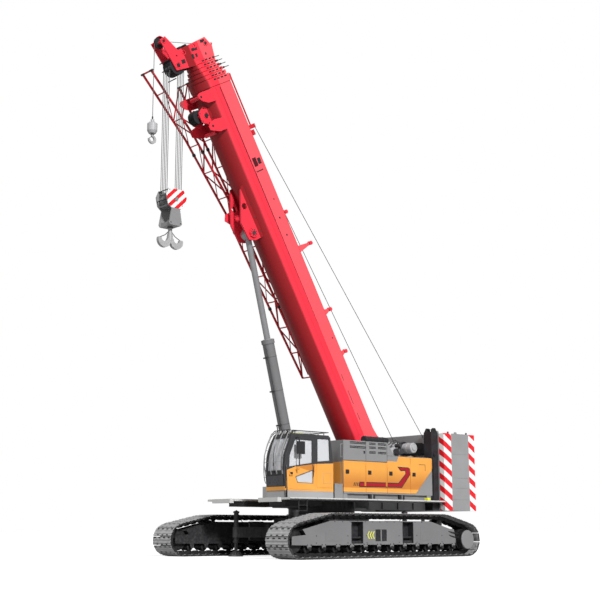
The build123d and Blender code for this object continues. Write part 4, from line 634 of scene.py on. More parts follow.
class MixPaints(bpy.types.Operator):
    """Mix every paint, metal, rubber and glass that the crane uses"""
    bl_idname = "crane.mix_paints"
    bl_label = "Mix paints"

    def execute(self, context):
        paint = context.scene.crane_paint
        GROUPS.update(paint=aged_paint(), steel=worn_steel(), stripes=leaning_stripes(), line=beyond_line())
        amber = (*paint.amber, 1)
        grey = (*paint.grey, 1)
        painted("boom red", "boom_red", paint.boom, dust=0.0, shine=0.34, tone=0.03)
        self.boom_paint(paint)
        self.turntable_paint(paint)
        painted("jib red", "jib_red", paint.jib, dust=0.0, shine=0.36)
        painted("house grey", "body_grey", paint.grey, dust=0.15, height=3.0)
        painted("frame grey", "frame_grey", paint.frame, dust=0.15, shine=0.36)
        self.track_frames(paint)
        painted("black fittings", "black_steel", paint.dark, dust=0.12, shine=0.34, coat=0.05)
        painted("band red", "block_red", paint.band_red, dust=0.05, shine=0.25)
        painted("plain amber", "amber_paint", paint.amber, dust=0.12, height=2.6)
        # Painted highlight: a lighter copy of the amber for the door lips and the cab's sill lines.
        painted("amber highlight", "amber_paint", [min(1, share * 1.12 + 0.03) for share in paint.amber], dust=0.1)
        for name, slot, tone, values in FIXED_PAINTS:
            painted(name, slot, tone, **values)
        self.house_doors(amber, grey)
        self.cab_paint(amber)
        self.weight_bands(paint, context.scene.crane_sizes.band)
        self.metals()
        self.other_stuff()
        return {"FINISHED"}

    def turntable_paint(self, paint):
        """Turntable: near black around the slewing ring as painted shade under the deck, and pale grey behind it as
        painted light that lifts the shade there.
        """
        tree, node = painted("turntable grey", "frame_grey", paint.frame, dust=0.1, shine=0.36)
        # Painted shade in front of y 0.55, painted light behind it.
        tree.links.new(mixed(tree, past(tree, (0, 1, 0), 0.55), (0.03, 0.03, 0.031, 1), (0.42, 0.42, 0.43, 1)),
                       node.inputs["Paint"])

    def boom_paint(self, paint):
        """Boom: paler above the side seam as a painted highlight, and deep red on the rounded underside as painted
        shade.
        """
        tree, node = painted("boom paint", "boom_red", paint.boom, dust=0.0, shine=0.34, tone=0.03)
        up = Vector((0, math.sin(BOOM_LEAN), math.cos(BOOM_LEAN)))
        pin = up.dot(BOOM_PIN)
        place = place_in(tree)
        height = run_along(tree, place, tuple(up))
        # Painted shade: deep red on the rounded underside, fading in from pin - 0.90 to pin - 0.97 and ending at pin -
        # 1.28.
        under = ramp(tree, height, pin - 0.90, pin - 0.97)
        under = combine(tree, "MULTIPLY", under, past(tree, up, pin - 1.28))
        # Painted highlight: a paler, pinker red above the side seam.
        pale = mixed(tree, past(tree, up, pin - 0.49), (*paint.boom, 1), (0.80, 0.085, 0.105, 1))
        tree.links.new(mixed(tree, under, pale, (0.27, 0.006, 0.010, 1)), node.inputs["Paint"])

    def track_frames(self, paint):
        """Track frames: grey on the outer face, and black as painted shade on the other faces and in the outer face's
        vent.
        """
        tree, node = painted("track frame paint", "frame_grey", paint.frame, dust=0.15, shine=0.36)
        # Painted shade: black on every face but the outer one, and in the vent recess on the outer face.
        outside = past_either(tree, FRAME_SIDE - 0.01)
        across = combine(tree, "MULTIPLY", past(tree, (0, 1, 0), -0.72), past(tree, (0, -1, 0), 0.19))
        upward = combine(tree, "MULTIPLY", past(tree, (0, 0, 1), 0.54), past(tree, (0, 0, -1), -0.92))
        vent = combine(tree, "MULTIPLY", across, upward)
        outside = combine(tree, "SUBTRACT", outside, vent)
        tree.links.new(mixed(tree, outside, (*paint.dark, 1), (*paint.frame, 1)), node.inputs["Paint"])

    def house_doors(self, amber, grey):
        """Doors: amber, with grey over the slanting line at the top and behind the slanting line at the rear, and
        painted shade in a darker amber band below z 3.0.
        """
        tree, node = painted("door paint", "amber_paint", amber[:3], dust=0.15, height=2.6)
        over = combine(tree, "MULTIPLY", past(tree, (0, 0, 1), 3.30), past(tree, (0, -0.905, 0.425), -0.338))
        behind = past(tree, (0, 0.703, -0.711), 0.52)
        mask = combine(tree, "MAXIMUM", over, behind)
        place = place_in(tree)
        high = linked(tree, "SeparateXYZ", ((0, place),)).outputs["Z"]
        # Painted shade: the amber darkens from z 3.0 down to 2.5 where the door turns under, stopping at z 2.33.
        turn_shade = ramp(tree, high, 3.0, 2.50)
        turn_shade = combine(tree, "MULTIPLY", turn_shade, past(tree, (0, 0, 1), 2.33))
        shaded = [share * factor for share, factor in zip(amber, (0.72, 0.60, 0.55, 1))]
        tone = mixed(tree, turn_shade, amber, shaded)
        tree.links.new(mixed(tree, mask, tone, grey), node.inputs["Paint"])

    def cab_paint(self, amber):
        """Cab: amber below the belt line, with painted shade in a darker amber over a slanting line at its front part,
        and dark window frames above it.
        """
        tree, node = painted("cab paint", "amber_paint", amber[:3], dust=0.12, height=2.6)
        lines = [past(tree, (0, -0.325, 1), 3.9025), past(tree, (0, -0.126, 1), 3.3254),
                 past(tree, (0, -0.060, 1), 3.192)]
        belt = combine(tree, "MAXIMUM", combine(tree, "MAXIMUM", lines[0], lines[1]), lines[2])
        front = combine(tree, "MULTIPLY", past(tree, (0, -1, 0), 3.31), past(tree, (0, 0, 1), 2.24))
        mask = combine(tree, "MAXIMUM", belt, front)
        # Painted shade: darker amber over a slanting line on the cab's front part.
        crease_shade = combine(tree, "MULTIPLY", past(tree, (0, 0.22, 1), 2.33), past(tree, (0, -1, 0), 2.05))
        shaded = [share * factor for share, factor in zip(amber, (0.74, 0.62, 0.55, 1))]
        tone = mixed(tree, crease_shade, amber, shaded)
        tree.links.new(mixed(tree, mask, tone, (0.045, 0.045, 0.048, 1)), node.inputs["Paint"])

    def weight_bands(self, paint, period):
        """Counterweight: grey with red and white bands at its corners."""
        tree, node = painted("weight paint", "weight_grey", paint.weight, dust=0.06, shine=0.3)
        red = (*paint.band_red, 1)
        white = (0.80, 0.80, 0.79, 1)
        left, right = [with_group(tree, GROUPS["stripes"], First=red, Second=white, Direction=(slope, 0.62, 1),
                                  Period=period, Start=0.1).outputs["Color"] for slope in (0.62, -0.62)]
        slant = mixed(tree, past(tree, (1, 0, 0), 0.0), right, left)
        outer = past_either(tree, 1.93)
        side = past_either(tree, DECK_HALF - 0.015)
        ends = combine(tree, "MAXIMUM", past(tree, (0, -1, 0), -4.54), past(tree, (0, 1, 0), 5.52))
        faces = combine(tree, "MAXIMUM", past(tree, (0, -1, 0), -4.19), past(tree, (0, 1, 0), 5.885))
        bands = combine(tree, "MAXIMUM", combine(tree, "MULTIPLY", side, ends),
                        combine(tree, "MULTIPLY", outer, faces))
        tree.links.new(mixed(tree, bands, (*paint.weight, 1), slant), node.inputs["Paint"])

    def metals(self):
        """Steels, chrome and wire rope."""
        for name, slot, low, high, wear, metal, grain in METALS:
            tree, shader = base_material(name, slot, metal=metal)
            node = with_group(tree, GROUPS["steel"], Dark=(*low, 1), Bright=(*high, 1), Wear=wear, Grain=grain)
            if name == "track shoe":
                self.shoe_ends(tree, node)
            surface(tree, shader, node, 0.25)
        tree, shader = base_material("chrome rod", "chrome_rod", metal=0.5, shine=0.22)
        node = with_group(tree, GROUPS["steel"], Dark=(0.30, 0.30, 0.31, 1), Bright=(0.40, 0.40, 0.41, 1), Wear=0.4,
                          Grain=120.0)
        tree.links.new(node.outputs["Color"], shader.inputs["Base Color"])

    def shoe_ends(self, tree, node):
        """Shoes: bright on their faces, black at their ends, partly grease and partly painted shade."""
        # Black outer and inner ends: partly grease, partly painted shade.
        ends = past_either(tree, TRACK_OUT - 0.022)
        inner = past_either(tree, TRACK_IN + 0.022)
        tone = mixed(tree, inner, (0.02, 0.02, 0.021, 1), (0.34, 0.34, 0.345, 1))
        tree.links.new(mixed(tree, ends, tone, (0.035, 0.035, 0.036, 1)), node.inputs["Dark"])
        tone = mixed(tree, inner, (0.03, 0.03, 0.031, 1), (0.50, 0.50, 0.50, 1))
        tree.links.new(mixed(tree, ends, tone, (0.06, 0.06, 0.06, 1)), node.inputs["Bright"])

    def other_stuff(self):
        """Glass, rubber, seat cover and lamps."""
        # Painted reflection: the glass is a pale grey white and half opaque, standing for the bright surroundings it
        # reflects.
        tree, shader = base_material("window glass", "window_glass", shine=0.04, coat=0.4)
        node = with_group(tree, GROUPS["paint"], Paint=(0.80, 0.81, 0.84, 1), Dust_amount=0.1, Dust_height=4.2,
                          Tone_shift=0.05)
        tree.links.new(node.outputs["Color"], shader.inputs["Base Color"])
        shader.inputs["Alpha"].default_value = 0.55
        for name, slot, tone, shine in SOFT_STUFF:
            tree, shader = base_material(name, slot)
            node = with_group(tree, GROUPS["paint"], Paint=(*tone, 1), Dust_amount=0.1, Shine=shine - 0.1)
            surface(tree, shader, node, 0.5)
        for name, slot, tone, glow in LAMPS:
            tree, shader = base_material(name, slot, coat=0.6, shine=0.15)
            node = with_group(tree, GROUPS["paint"], Paint=(*tone, 1), Dust_amount=0.05, Shine=0.1)
            tree.links.new(node.outputs["Color"], shader.inputs["Base Color"])
            tree.links.new(node.outputs["Color"], shader.inputs["Emission Color"])
            shader.inputs["Emission Strength"].default_value = glow


NODE_PAINTS = (
    ("house grey", ("house_left", "house_right")),
    ("door paint", [f"house_door_left_{index}" for index in range(1, 5)]),
    ("door paint", ("house_door_right_1", "house_door_right_2", "house_cover_right")),
    ("cab paint", ("cab_shell", "cab_door")),
    ("window glass", ("cab_windows", "cab_door_glass")),
    ("seat cover", ("cab_seat",)),
    ("galvanised", ("cab_guard",)),
    ("weight paint", [f"counterweight_slab_{index}" for index in range(1, 6)]),
    ("black fittings", ("counterweight_posts", "muffler")),
    ("barrel grey", ("luff_barrel",)),
    ("turntable grey", ("turntable",)),
    ("track frame paint", ("track_frame_left", "track_frame_right")),
    ("deck white", ("walkways",)),
    ("drum grey", ("main_winch_drum", "second_winch_drum")),
    ("black fittings", ("slew_ring", "head_sheaves", "guide_sheaves", "engine_block", "carbody")),
    ("boom paint", [f"boom_section_{index}" for index in range(1, 7)]),
    ("jib red", ("lattice_jib",)),
    ("chrome rod", ("luff_rod",)),
    ("cast hook", ("main_hook", "ball_hook")),
    ("drum grey", ("ball_weight",)),
    ("bright rope", ("main_falls", "aux_fall")),
    ("block grey", ("hook_block",)),
    ("dark wheel", ("track_wheels_left", "track_wheels_right")),
    ("track shoe", ("track_left", "track_right")),
    ("dark fittings", [f"jack_{part}_{place}" for part in ("arm", "leg") for place in CORNERS]),
)


class PaintSolids(bpy.types.Operator):
    """Give every solid its paint or metal"""
    bl_idname = "crane.paint_solids"
    bl_label = "Paint solids"

    def execute(self, context):
        for paint, nodes in NODE_PAINTS:
            for node in nodes:
                obj = frame["nodes"][node]
                obj.data.materials.clear()
                obj.data.materials.append(PAINTS[paint][0])
                only(obj)
                bpy.ops.object.shade_smooth_by_angle(angle=math.radians(28))
        return {"FINISHED"}


# Tracks


def loop_path(inset, steps):
    """Points round a track loop, inset from the shoe faces."""
    spans = []
    for first, second in zip(WRAPS, WRAPS[1:] + WRAPS[:1]):
        run = Vector((second[0] - first[0], second[1] - first[1]))
        swing = (first[2] - second[2]) / run.length
        ahead = run.normalized()
        normal = Vector((-ahead.y, ahead.x)) * math.sqrt(1 - swing**2) + ahead * swing
        spans.append([Vector(wrap[:2]) + normal * (wrap[2] - inset) for wrap in (first, second)])
    points = []
    for index, wrap in enumerate(WRAPS):
        hub = Vector(wrap[:2])
        into = spans[index - 1][1] - hub
        out = spans[index][0] - hub
        start = math.atan2(into.y, into.x)
        turn = (start - math.atan2(out.y, out.x)) % math.tau
        for step in range(steps + 1):
            angle = start - turn * step / steps
            points.append(hub + (wrap[2] - inset) * Vector((math.cos(angle), math.sin(angle))))
    return points


def point_along(points, distance):
    """Point at a distance round a closed line."""
    for first, second in zip(points, points[1:] + points[:1]):
        length = (second - first).length
        if distance <= length:
            return first + (second - first) * distance / length
        distance -= length
    return points[0]


def shoe_places(x):
    """Matrices that put a shoe, modelled flat, round the loop at x."""
    path = loop_path(SHOE_THICK, 12)
    total = sum((b - a).length for a, b in zip(path, path[1:] + path[:1]))
    count = round(total / SHOE_PITCH)
    places = []
    for index in range(count):
        start = point_along(path, index * total / count)
        end = point_along(path, (index + 1) * total / count - 0.00001)
        ahead = (end - start).normalized()
        middle = (start + end) / 2
        places.append(Matrix(((1, 0, 0, x), (0, ahead.x, -ahead.y, middle.x), (0, ahead.y, ahead.x, middle.y),
                              (0, 0, 0, 1))))
    return places


class MakeTracks(bpy.types.Operator):
    """Shoes with ribs and joint slots, links, pins and bolts of both tracks"""
    bl_idname = "crane.make_tracks"
    bl_label = "Tracks"

    def execute(self, context):
        half = SHOE_PITCH / 2 - 0.011
        for side, sign in SIDES:
            pan = slab([(-0.55, -half, 0.018), (-0.55, half, 0.018), (-0.50, half + 0.006, 0.018),
                        (0.50, half + 0.006, 0.018), (0.55, half, 0.018), (0.55, -half, 0.018),
                        (0.50, -half - 0.006, 0.018), (-0.50, -half - 0.006, 0.018)], (0, 0, 0.040), 0.006)
            ribs = [slab([(-0.53, y - 0.026, 0.056), (-0.53, y + 0.026, 0.056), (-0.53, y + 0.014, 0.075),
                          (-0.53, y - 0.014, 0.075)], (1.06, 0, 0), 0.003) for y in (-0.055, 0.055)]
            pads = [block((x - 0.075, -half - 0.002, 0.052), (x + 0.075, -0.118, 0.0685), 0.003) for x in SHOE_COLUMNS]
            ends = [block((x - 0.045, -0.050, -0.010), (x + 0.045, 0.050, 0.030), 0.008) for x in (-0.5, 0.5)]
            shoe = joined([pan, *ribs, *pads, *ends])
            shoes = repeated(shoe, shoe_places(sign * TRACK_MID))
            done(shoes, f"track_{side}_shoes", "undercarriage", "track shoe", replaces=(f"track_{side}",))
            slots = [block((x - 0.062, half - 0.050, 0.0560), (x + 0.062, half - 0.002, 0.0600), 0.001)
                     for x in SHOE_COLUMNS]
            slots += [block((x - 0.055, 0.002 - half, 0.0560), (x + 0.055, 0.045 - half, 0.0600), 0.001)
                      for x in (-0.273, 0, 0.273)]
            done(repeated(slots, shoe_places(sign * TRACK_MID)), f"track_{side}_slots", "undercarriage",
                 "black fittings")
            plates = []
            for x in (-0.20, 0.15):
                plates.append(slab([(x, -0.155, -0.02), (x, -0.145, -0.09), (x, -0.07, -0.12), (x, 0.07, -0.12),
                                    (x, 0.145, -0.09), (x, 0.155, -0.02), (x, 0.12, 0.02), (x, -0.12, 0.02)],
                                   (0.05, 0, 0), 0.006))
            plates.append(axle(-0.21, 0.21, (-0.149, -0.055), 0.028, 12, 0.003))
            plates.append(bolts([(x, y, -0.012) for x in (-0.175, 0.175) for y in (-0.06, 0.06)], (0, 0, -1), 0.014))
            done(repeated(plates, shoe_places(sign * TRACK_MID)), f"track_{side}_links", "undercarriage", "track link")
            self.frame_trim(side, sign)
        return {"FINISHED"}

    def frame_trim(self, side, sign):
        """Bolts, covers, chevrons, lifting eyes, vent, openings and hoses on a track frame."""
        face = sign * FRAME_SIDE
        out = (sign, 0, 0)
        spots = [(face, y, z) for y in (-3.35, -1.98, -1.12, 0.40, 1.27, 2.55) for z in (0.50, 0.72)]
        spots += [(face, -2.55 + step * 0.34, 1.165) for step in range(13)]
        done(bolts(spots, out, 0.014), f"track_{side}_frame_bolts", "undercarriage", "dark fittings")
        roll_spots = [(face, y + dy, 0.445) for y in ROLLER_YS for dy in (-0.075, 0.075)]
        done(bolts(roll_spots, out, 0.015), f"track_{side}_roller_bolts", "undercarriage", "dark wheel")
        caps = [axle(face - sign * 0.02, face + sign * 0.045, (y, 0.3203), 0.062, 20, 0.012) for y in ROLLER_YS]
        done(caps, f"track_{side}_roller_caps", "undercarriage", "dark wheel", soft=35)
        cover = sign * (TRACK_MID + 0.42)
        plain = axle(cover - sign * 0.02, cover + sign * 0.042, (3.775, 0.575), 0.325, 64, 0.015)
        done(plain, f"track_{side}_drive_cover", "undercarriage", "cover grey", soft=30)
        chevrons = []
        for step in range(3):
            y = -1.10 + step * 0.115
            chevrons.append(sticker([(y, 0.74), (y + 0.075, 0.86), (y + 0.112, 0.86), (y + 0.037, 0.74),
                                     (y + 0.112, 0.62), (y + 0.075, 0.62)], face, 0.003))
        done(chevrons, f"track_{side}_chevrons", "undercarriage", "accent yellow")
        eyes = []
        for y in (-2.35, 1.75):
            eye = side_slab([(y - 0.09, 1.185), (y - 0.07, 1.27), (y + 0.07, 1.27), (y + 0.09, 1.185)],
                            face - sign * 0.16, face - sign * 0.13, 0.004)
            eyes += [eye, ring((face - sign * 0.145, y, 1.235), (1, 0, 0), 0.03, 0.008, 20, 8)]
        done(eyes, f"track_{side}_lifting_eyes", "undercarriage", "frame grey")
        covers = [sticker(outline, face, 0.006, 0.002) for outline in FRAME_COVERS]
        done(covers, f"track_{side}_frame_covers", "undercarriage", "frame grey")
        # Painted shade: black sheets lining the vent and the two openings, where only shade falls.
        lining = [block((face - sign * 0.0295, -0.718, 0.542), (face - sign * 0.024, -0.192, 0.918), 0)]
        for middle in FRAME_OPENINGS:
            low = Vector((face - sign * 0.239, middle - 0.254, 0.471))
            high = Vector((face - sign * 0.002, middle + 0.254, 1.169))
            lining += [block(low, (low.x + sign * 0.006, high.y, high.z), 0.001),
                       block(low, (high.x, low.y + 0.006, high.z), 0.001),
                       block((low.x, high.y - 0.006, low.z), high, 0.001),
                       block(low, (high.x, high.y, low.z + 0.006), 0.001),
                       block((low.x, low.y, high.z - 0.006), high, 0.001)]
        bar = block((face - sign * 0.01, -0.48, 0.545), (face + sign * 0.004, -0.43, 0.915), 0.002)
        done(bar, f"track_{side}_vent_bar", "undercarriage", "cover grey")
        done(lining, f"track_{side}_frame_opening_shade", "undercarriage", "black fittings")
        edges = []
        for middle in FRAME_OPENINGS:
            for y in (middle - 0.255, middle + 0.255):
                edges.append(block((face - sign * 0.01, y - 0.012, 0.47), (face + sign * 0.006, y + 0.012, 1.17),
                                   0.003))
            edges.append(block((face - sign * 0.20, middle - 0.24, 0.475), (face - sign * 0.04, middle + 0.24, 0.56),
                               0.01))
            edges.append(rod((face - sign * 0.12, middle - 0.25, 0.66), (face - sign * 0.12, middle + 0.25, 0.66),
                             0.035, 14))
        done(edges, f"track_{side}_opening_trim", "undercarriage", "black fittings")
        lines = [tube([(face - sign * 0.10, 2.62, 1.00), (face - sign * 0.02, 2.85, 0.86),
                       (face + sign * 0.02, 3.15, 0.80), (face + sign * 0.05, 3.35, 0.78)], 0.022, True),
                 tube([(face - sign * 0.10, 2.62, 0.94), (face - sign * 0.01, 2.9, 0.72),
                       (face + sign * 0.03, 3.2, 0.66), (face + sign * 0.05, 3.38, 0.66)], 0.018, True)]
        done(lines, f"track_{side}_drive_hoses", "undercarriage", "rubber", soft=40)


class DressUndercarriage(bpy.types.Operator):
    """Bolts, covers, collars, hoses and jack fittings between the tracks"""
    bl_idname = "crane.dress_undercarriage"
    bl_label = "Undercarriage"

    def execute(self, context):
        done(bolts(ring_spots((0, 0, 1.43), "z", 1.215, 48), (0, 0, 1), 0.016), "slew_ring_bolts", "undercarriage",
             "dark wheel")
        flange = rod((0, 0, 1.415), (0, 0, 1.432), 1.25, 72, 0.004)
        done(flange, "slew_ring_flange", "undercarriage", "frame grey", soft=30)
        heads = [bolts([(x, sign * 1.352, z) for x in (-0.62, -0.31, 0, 0.31, 0.62) for z in (0.58, 1.2)],
                       (0, sign, 0), 0.018) for sign in (-1, 1)]
        done(heads, "carbody_bolts", "undercarriage", "dark wheel")
        plates = [block((-0.45, sign * 1.35, 0.68), (0.45, sign * 1.366, 1.12), 0.004) for sign in (-1, 1)]
        done(plates, "carbody_covers", "undercarriage", "dark fittings")
        collar = [block((x * 2.66 - 0.03, y - 0.34, 0.53), (x * 2.66 + 0.03, y + 0.34, 1.21), 0.01) for x in (-1, 1)
                  for y in (-0.82, 0.82)]
        done(collar, "beam_collars", "undercarriage", "frame grey")
        hoses = []
        for x in (-0.85, -0.75, 0.75, 0.85):
            for sign in (-1, 1):
                hoses.append(tube([(x, sign * 1.2, 1.2), (x, sign * 1.39, 1.24), (x * 0.9, sign * 1.42, 1.12),
                                   (x * 0.8, sign * 1.39, 0.95), (x * 0.8, sign * 1.3, 0.90)], 0.019, True))
        done(hoses, "carbody_hoses", "undercarriage", "rubber", soft=40)
        for name in CORNERS:
            self.jack(name, 1 if name.endswith("left") else -1, -1 if name.startswith("front") else 1)
        return {"FINISHED"}

    def jack(self, name, sx, sy):
        """Caps, stiffeners, hose and bolts of one jack."""
        lean = math.radians(26)
        hinge = Vector((sx * 1.08, sy * 1.56, 0))
        ahead = Vector((sx * math.sin(lean), sy * math.cos(lean), 0))
        tip = hinge + ahead * 1.16
        across = Vector((-ahead.y, ahead.x, 0))
        body = f"jack_arm_{name}"
        parts = [rod(tip + up_by(1.545), tip + up_by(1.565), 0.07, 24, 0.004),
                 rod(tip + up_by(1.565), tip + up_by(1.59), 0.025, 6)]
        turn = Matrix.Rotation(math.atan2(ahead.y, ahead.x), 4, "Z")
        for side in (-1, 1):
            for share in (0.26, 0.50, 0.74):
                spot = hinge + ahead * 1.16 * share + across * side * 0.11
                parts.append(block((-0.012, -0.03, 0.66), (0.012, 0.03, 0.99), 0.003))
                parts[-1].data.transform(Matrix.Translation(spot) @ turn)
        parts.append(bolts([hinge + Vector((dx, dy, 1.005)) for dx in (-0.06, 0.06) for dy in (-0.06, 0.06)],
                           (0, 0, 1), 0.014))
        done(parts, f"{body}_fittings", body, "dark fittings", soft=35)
        line = tube([hinge + ahead * 0.15 + up_by(1.02), hinge + ahead * 0.5 + up_by(1.03),
                     hinge + ahead * 0.85 + up_by(1.06), tip - ahead * 0.13 + up_by(1.30),
                     tip - ahead * 0.08 + up_by(1.44)], 0.013, True)
        done(line, f"{body}_hose", body, "rubber", soft=40)
        foot = [ring(tip + up_by(0.045), (0, 0, 1), 0.247, 0.006, 40, 8),
                bolts(ring_spots(tip + up_by(0.115), "z", 0.17, 8), (0, 0, 1), 0.012)]
        done(foot, f"jack_leg_{name}_fittings", f"jack_leg_{name}", "galvanised")


# Upper body


class DressDeck(bpy.types.Operator):
    """Tread strips, joints, feet, plinths, toolbox, step, lamps, rails and pipes of the deck"""
    bl_idname = "crane.dress_deck"
    bl_label = "Deck"

    def execute(self, context):
        rail = context.scene.crane_sizes.rail
        strips = [block((1.93, -3.3 + step * 0.27, DECK), (2.17, -3.3 + step * 0.27 + 0.03, DECK + 0.004), 0.001)
                  for step in range(28)]
        done(both_sides(strips), "deck_tread_strips", "upper", "galvanised")
        joints = [block((DECK_HALF - 0.30, y, DECK - 0.071), (DECK_HALF, y + 0.012, DECK + 0.001), 0)
                  for y in (-2.2, -1.0, 0.62, 1.9, 3.1)]
        done(both_sides(joints), "deck_joints", "upper", "black fittings")
        feet = [block((HOUSE_SIDE - 0.10, y, DECK), (HOUSE_SIDE - 0.015, y + 0.12, DECK + 0.175), 0.01)
                for y in (0.55, 0.71, 2.05, 2.20)]
        done(both_sides(feet), "house_foot_pads", "upper", "black fittings")
        lip = side_slab([(-3.40, DECK_UNDER), (-3.40, DECK - 0.042), (4.13, DECK - 0.042), (4.13, DECK_UNDER)],
                        DECK_HALF - 0.01, DECK_HALF + 0.002, 0)
        done(both_sides(lip), "deck_edge_shadow", "upper", "dark fittings")
        plinth = block((HOUSE_SIDE - 0.112, -0.66, DECK), (HOUSE_SIDE - 0.101, 3.9, 2.2), 0.002)
        done(both_sides(plinth), "house_plinths", "upper", "cover grey")
        lamp = block((HOUSE_SIDE + 0.10, 3.22, DECK), (HOUSE_SIDE + 0.28, 3.37, DECK + 0.09), 0.015)
        done(both_sides(lamp), "deck_lamps", "upper", "accent yellow")
        boxes = [block((1.50, -1.15, DECK), (1.903, -1.146, 2.44), 0.001),
                 block((1.895, -1.15, DECK), (1.903, -0.76, 2.44), 0.001),
                 block((1.50, -1.15, 2.44), (1.90, -0.76, 2.452), 0.004),
                 block((1.9, -0.99, 2.36), (1.915, -0.92, 2.41), 0.003)]
        done(boxes, "toolbox_panels", "upper", "house grey")
        step = [side_tube(2.15, [(-2.62, DECK - 0.03), (-2.62, z), (-2.98, z), (-2.98, DECK - 0.03)], 0.014)
                for z in (1.52, 1.70)]
        done(step, "cab_step", "upper", "dark fittings", soft=35)
        rails = []
        for x in (-0.95, 0.06 - HOUSE_SIDE):
            rails.append(side_tube(x, [(1.9, 3.5), (1.9, 4.15), (3.60, 4.15), (3.60, 3.5)], rail))
            rails.append(side_tube(x, [(1.9, 3.85), (3.60, 3.85)], rail * 0.8))
            rails.append(side_tube(x, [(2.75, 3.5), (2.75, 4.15)], rail * 0.8))
        done(rails, "right_roof_rails", "upper", "galvanised", soft=35)
        under = []
        for side in (-1, 1):
            for z in (1.70, 1.78):
                under.append(side_tube(side * 1.33, [(0.95, z), (4.0, z)], 0.018))
            for y in (1.5, 2.3, 3.1):
                under.append(block((side * 1.52, y, 1.62), (side * 1.535, y + 0.05, 1.86), 0.003))
        done(under, "underdeck_pipes", "upper", "dark fittings", soft=35)
        return {"FINISHED"}


# Outline of the trim band on the doors, as (y, z)
BAND = [(0.06, 2.39), (2.15, 2.41), (2.58, 2.87), (2.55, 3.08), (2.02, 3.09), (2.12, 3.00), (2.36, 3.02), (2.39, 2.87),
        (2.00, 2.52), (0.06, 2.51)]


def clipped(obj, y_low, y_high):
    """Cut an object down to the part between two y values."""
    only(obj)
    bpy.ops.object.mode_set(mode="EDIT")
    for y, low_side in ((y_low, True), (y_high, False)):
        bpy.ops.mesh.select_all(action="SELECT")
        bpy.ops.mesh.bisect(plane_co=(0, y, 0), plane_no=(0, 1, 0), use_fill=True, clear_inner=low_side,
                            clear_outer=not low_side)
    bpy.ops.object.mode_set(mode="OBJECT")
    return obj


def swollen(points, margin):
    """An outline pushed out by a margin, corner by corner."""
    grown = []
    count = len(points)
    area = sum(a[0] * b[1] - b[0] * a[1] for a, b in zip(points, points[1:] + points[:1]))
    turn = 1 if area > 0 else -1
    for index, here in enumerate(points):
        back = Vector(here) - Vector(points[index - 1])
        ahead = Vector(points[(index + 1) % count]) - Vector(here)
        first = Vector((back.y, -back.x)).normalized() * turn
        second = Vector((ahead.y, -ahead.x)).normalized() * turn
        push = (first + second).normalized()
        grown.append(tuple(Vector(here) + push * margin / max(0.35, push.dot(first))))
    return grown


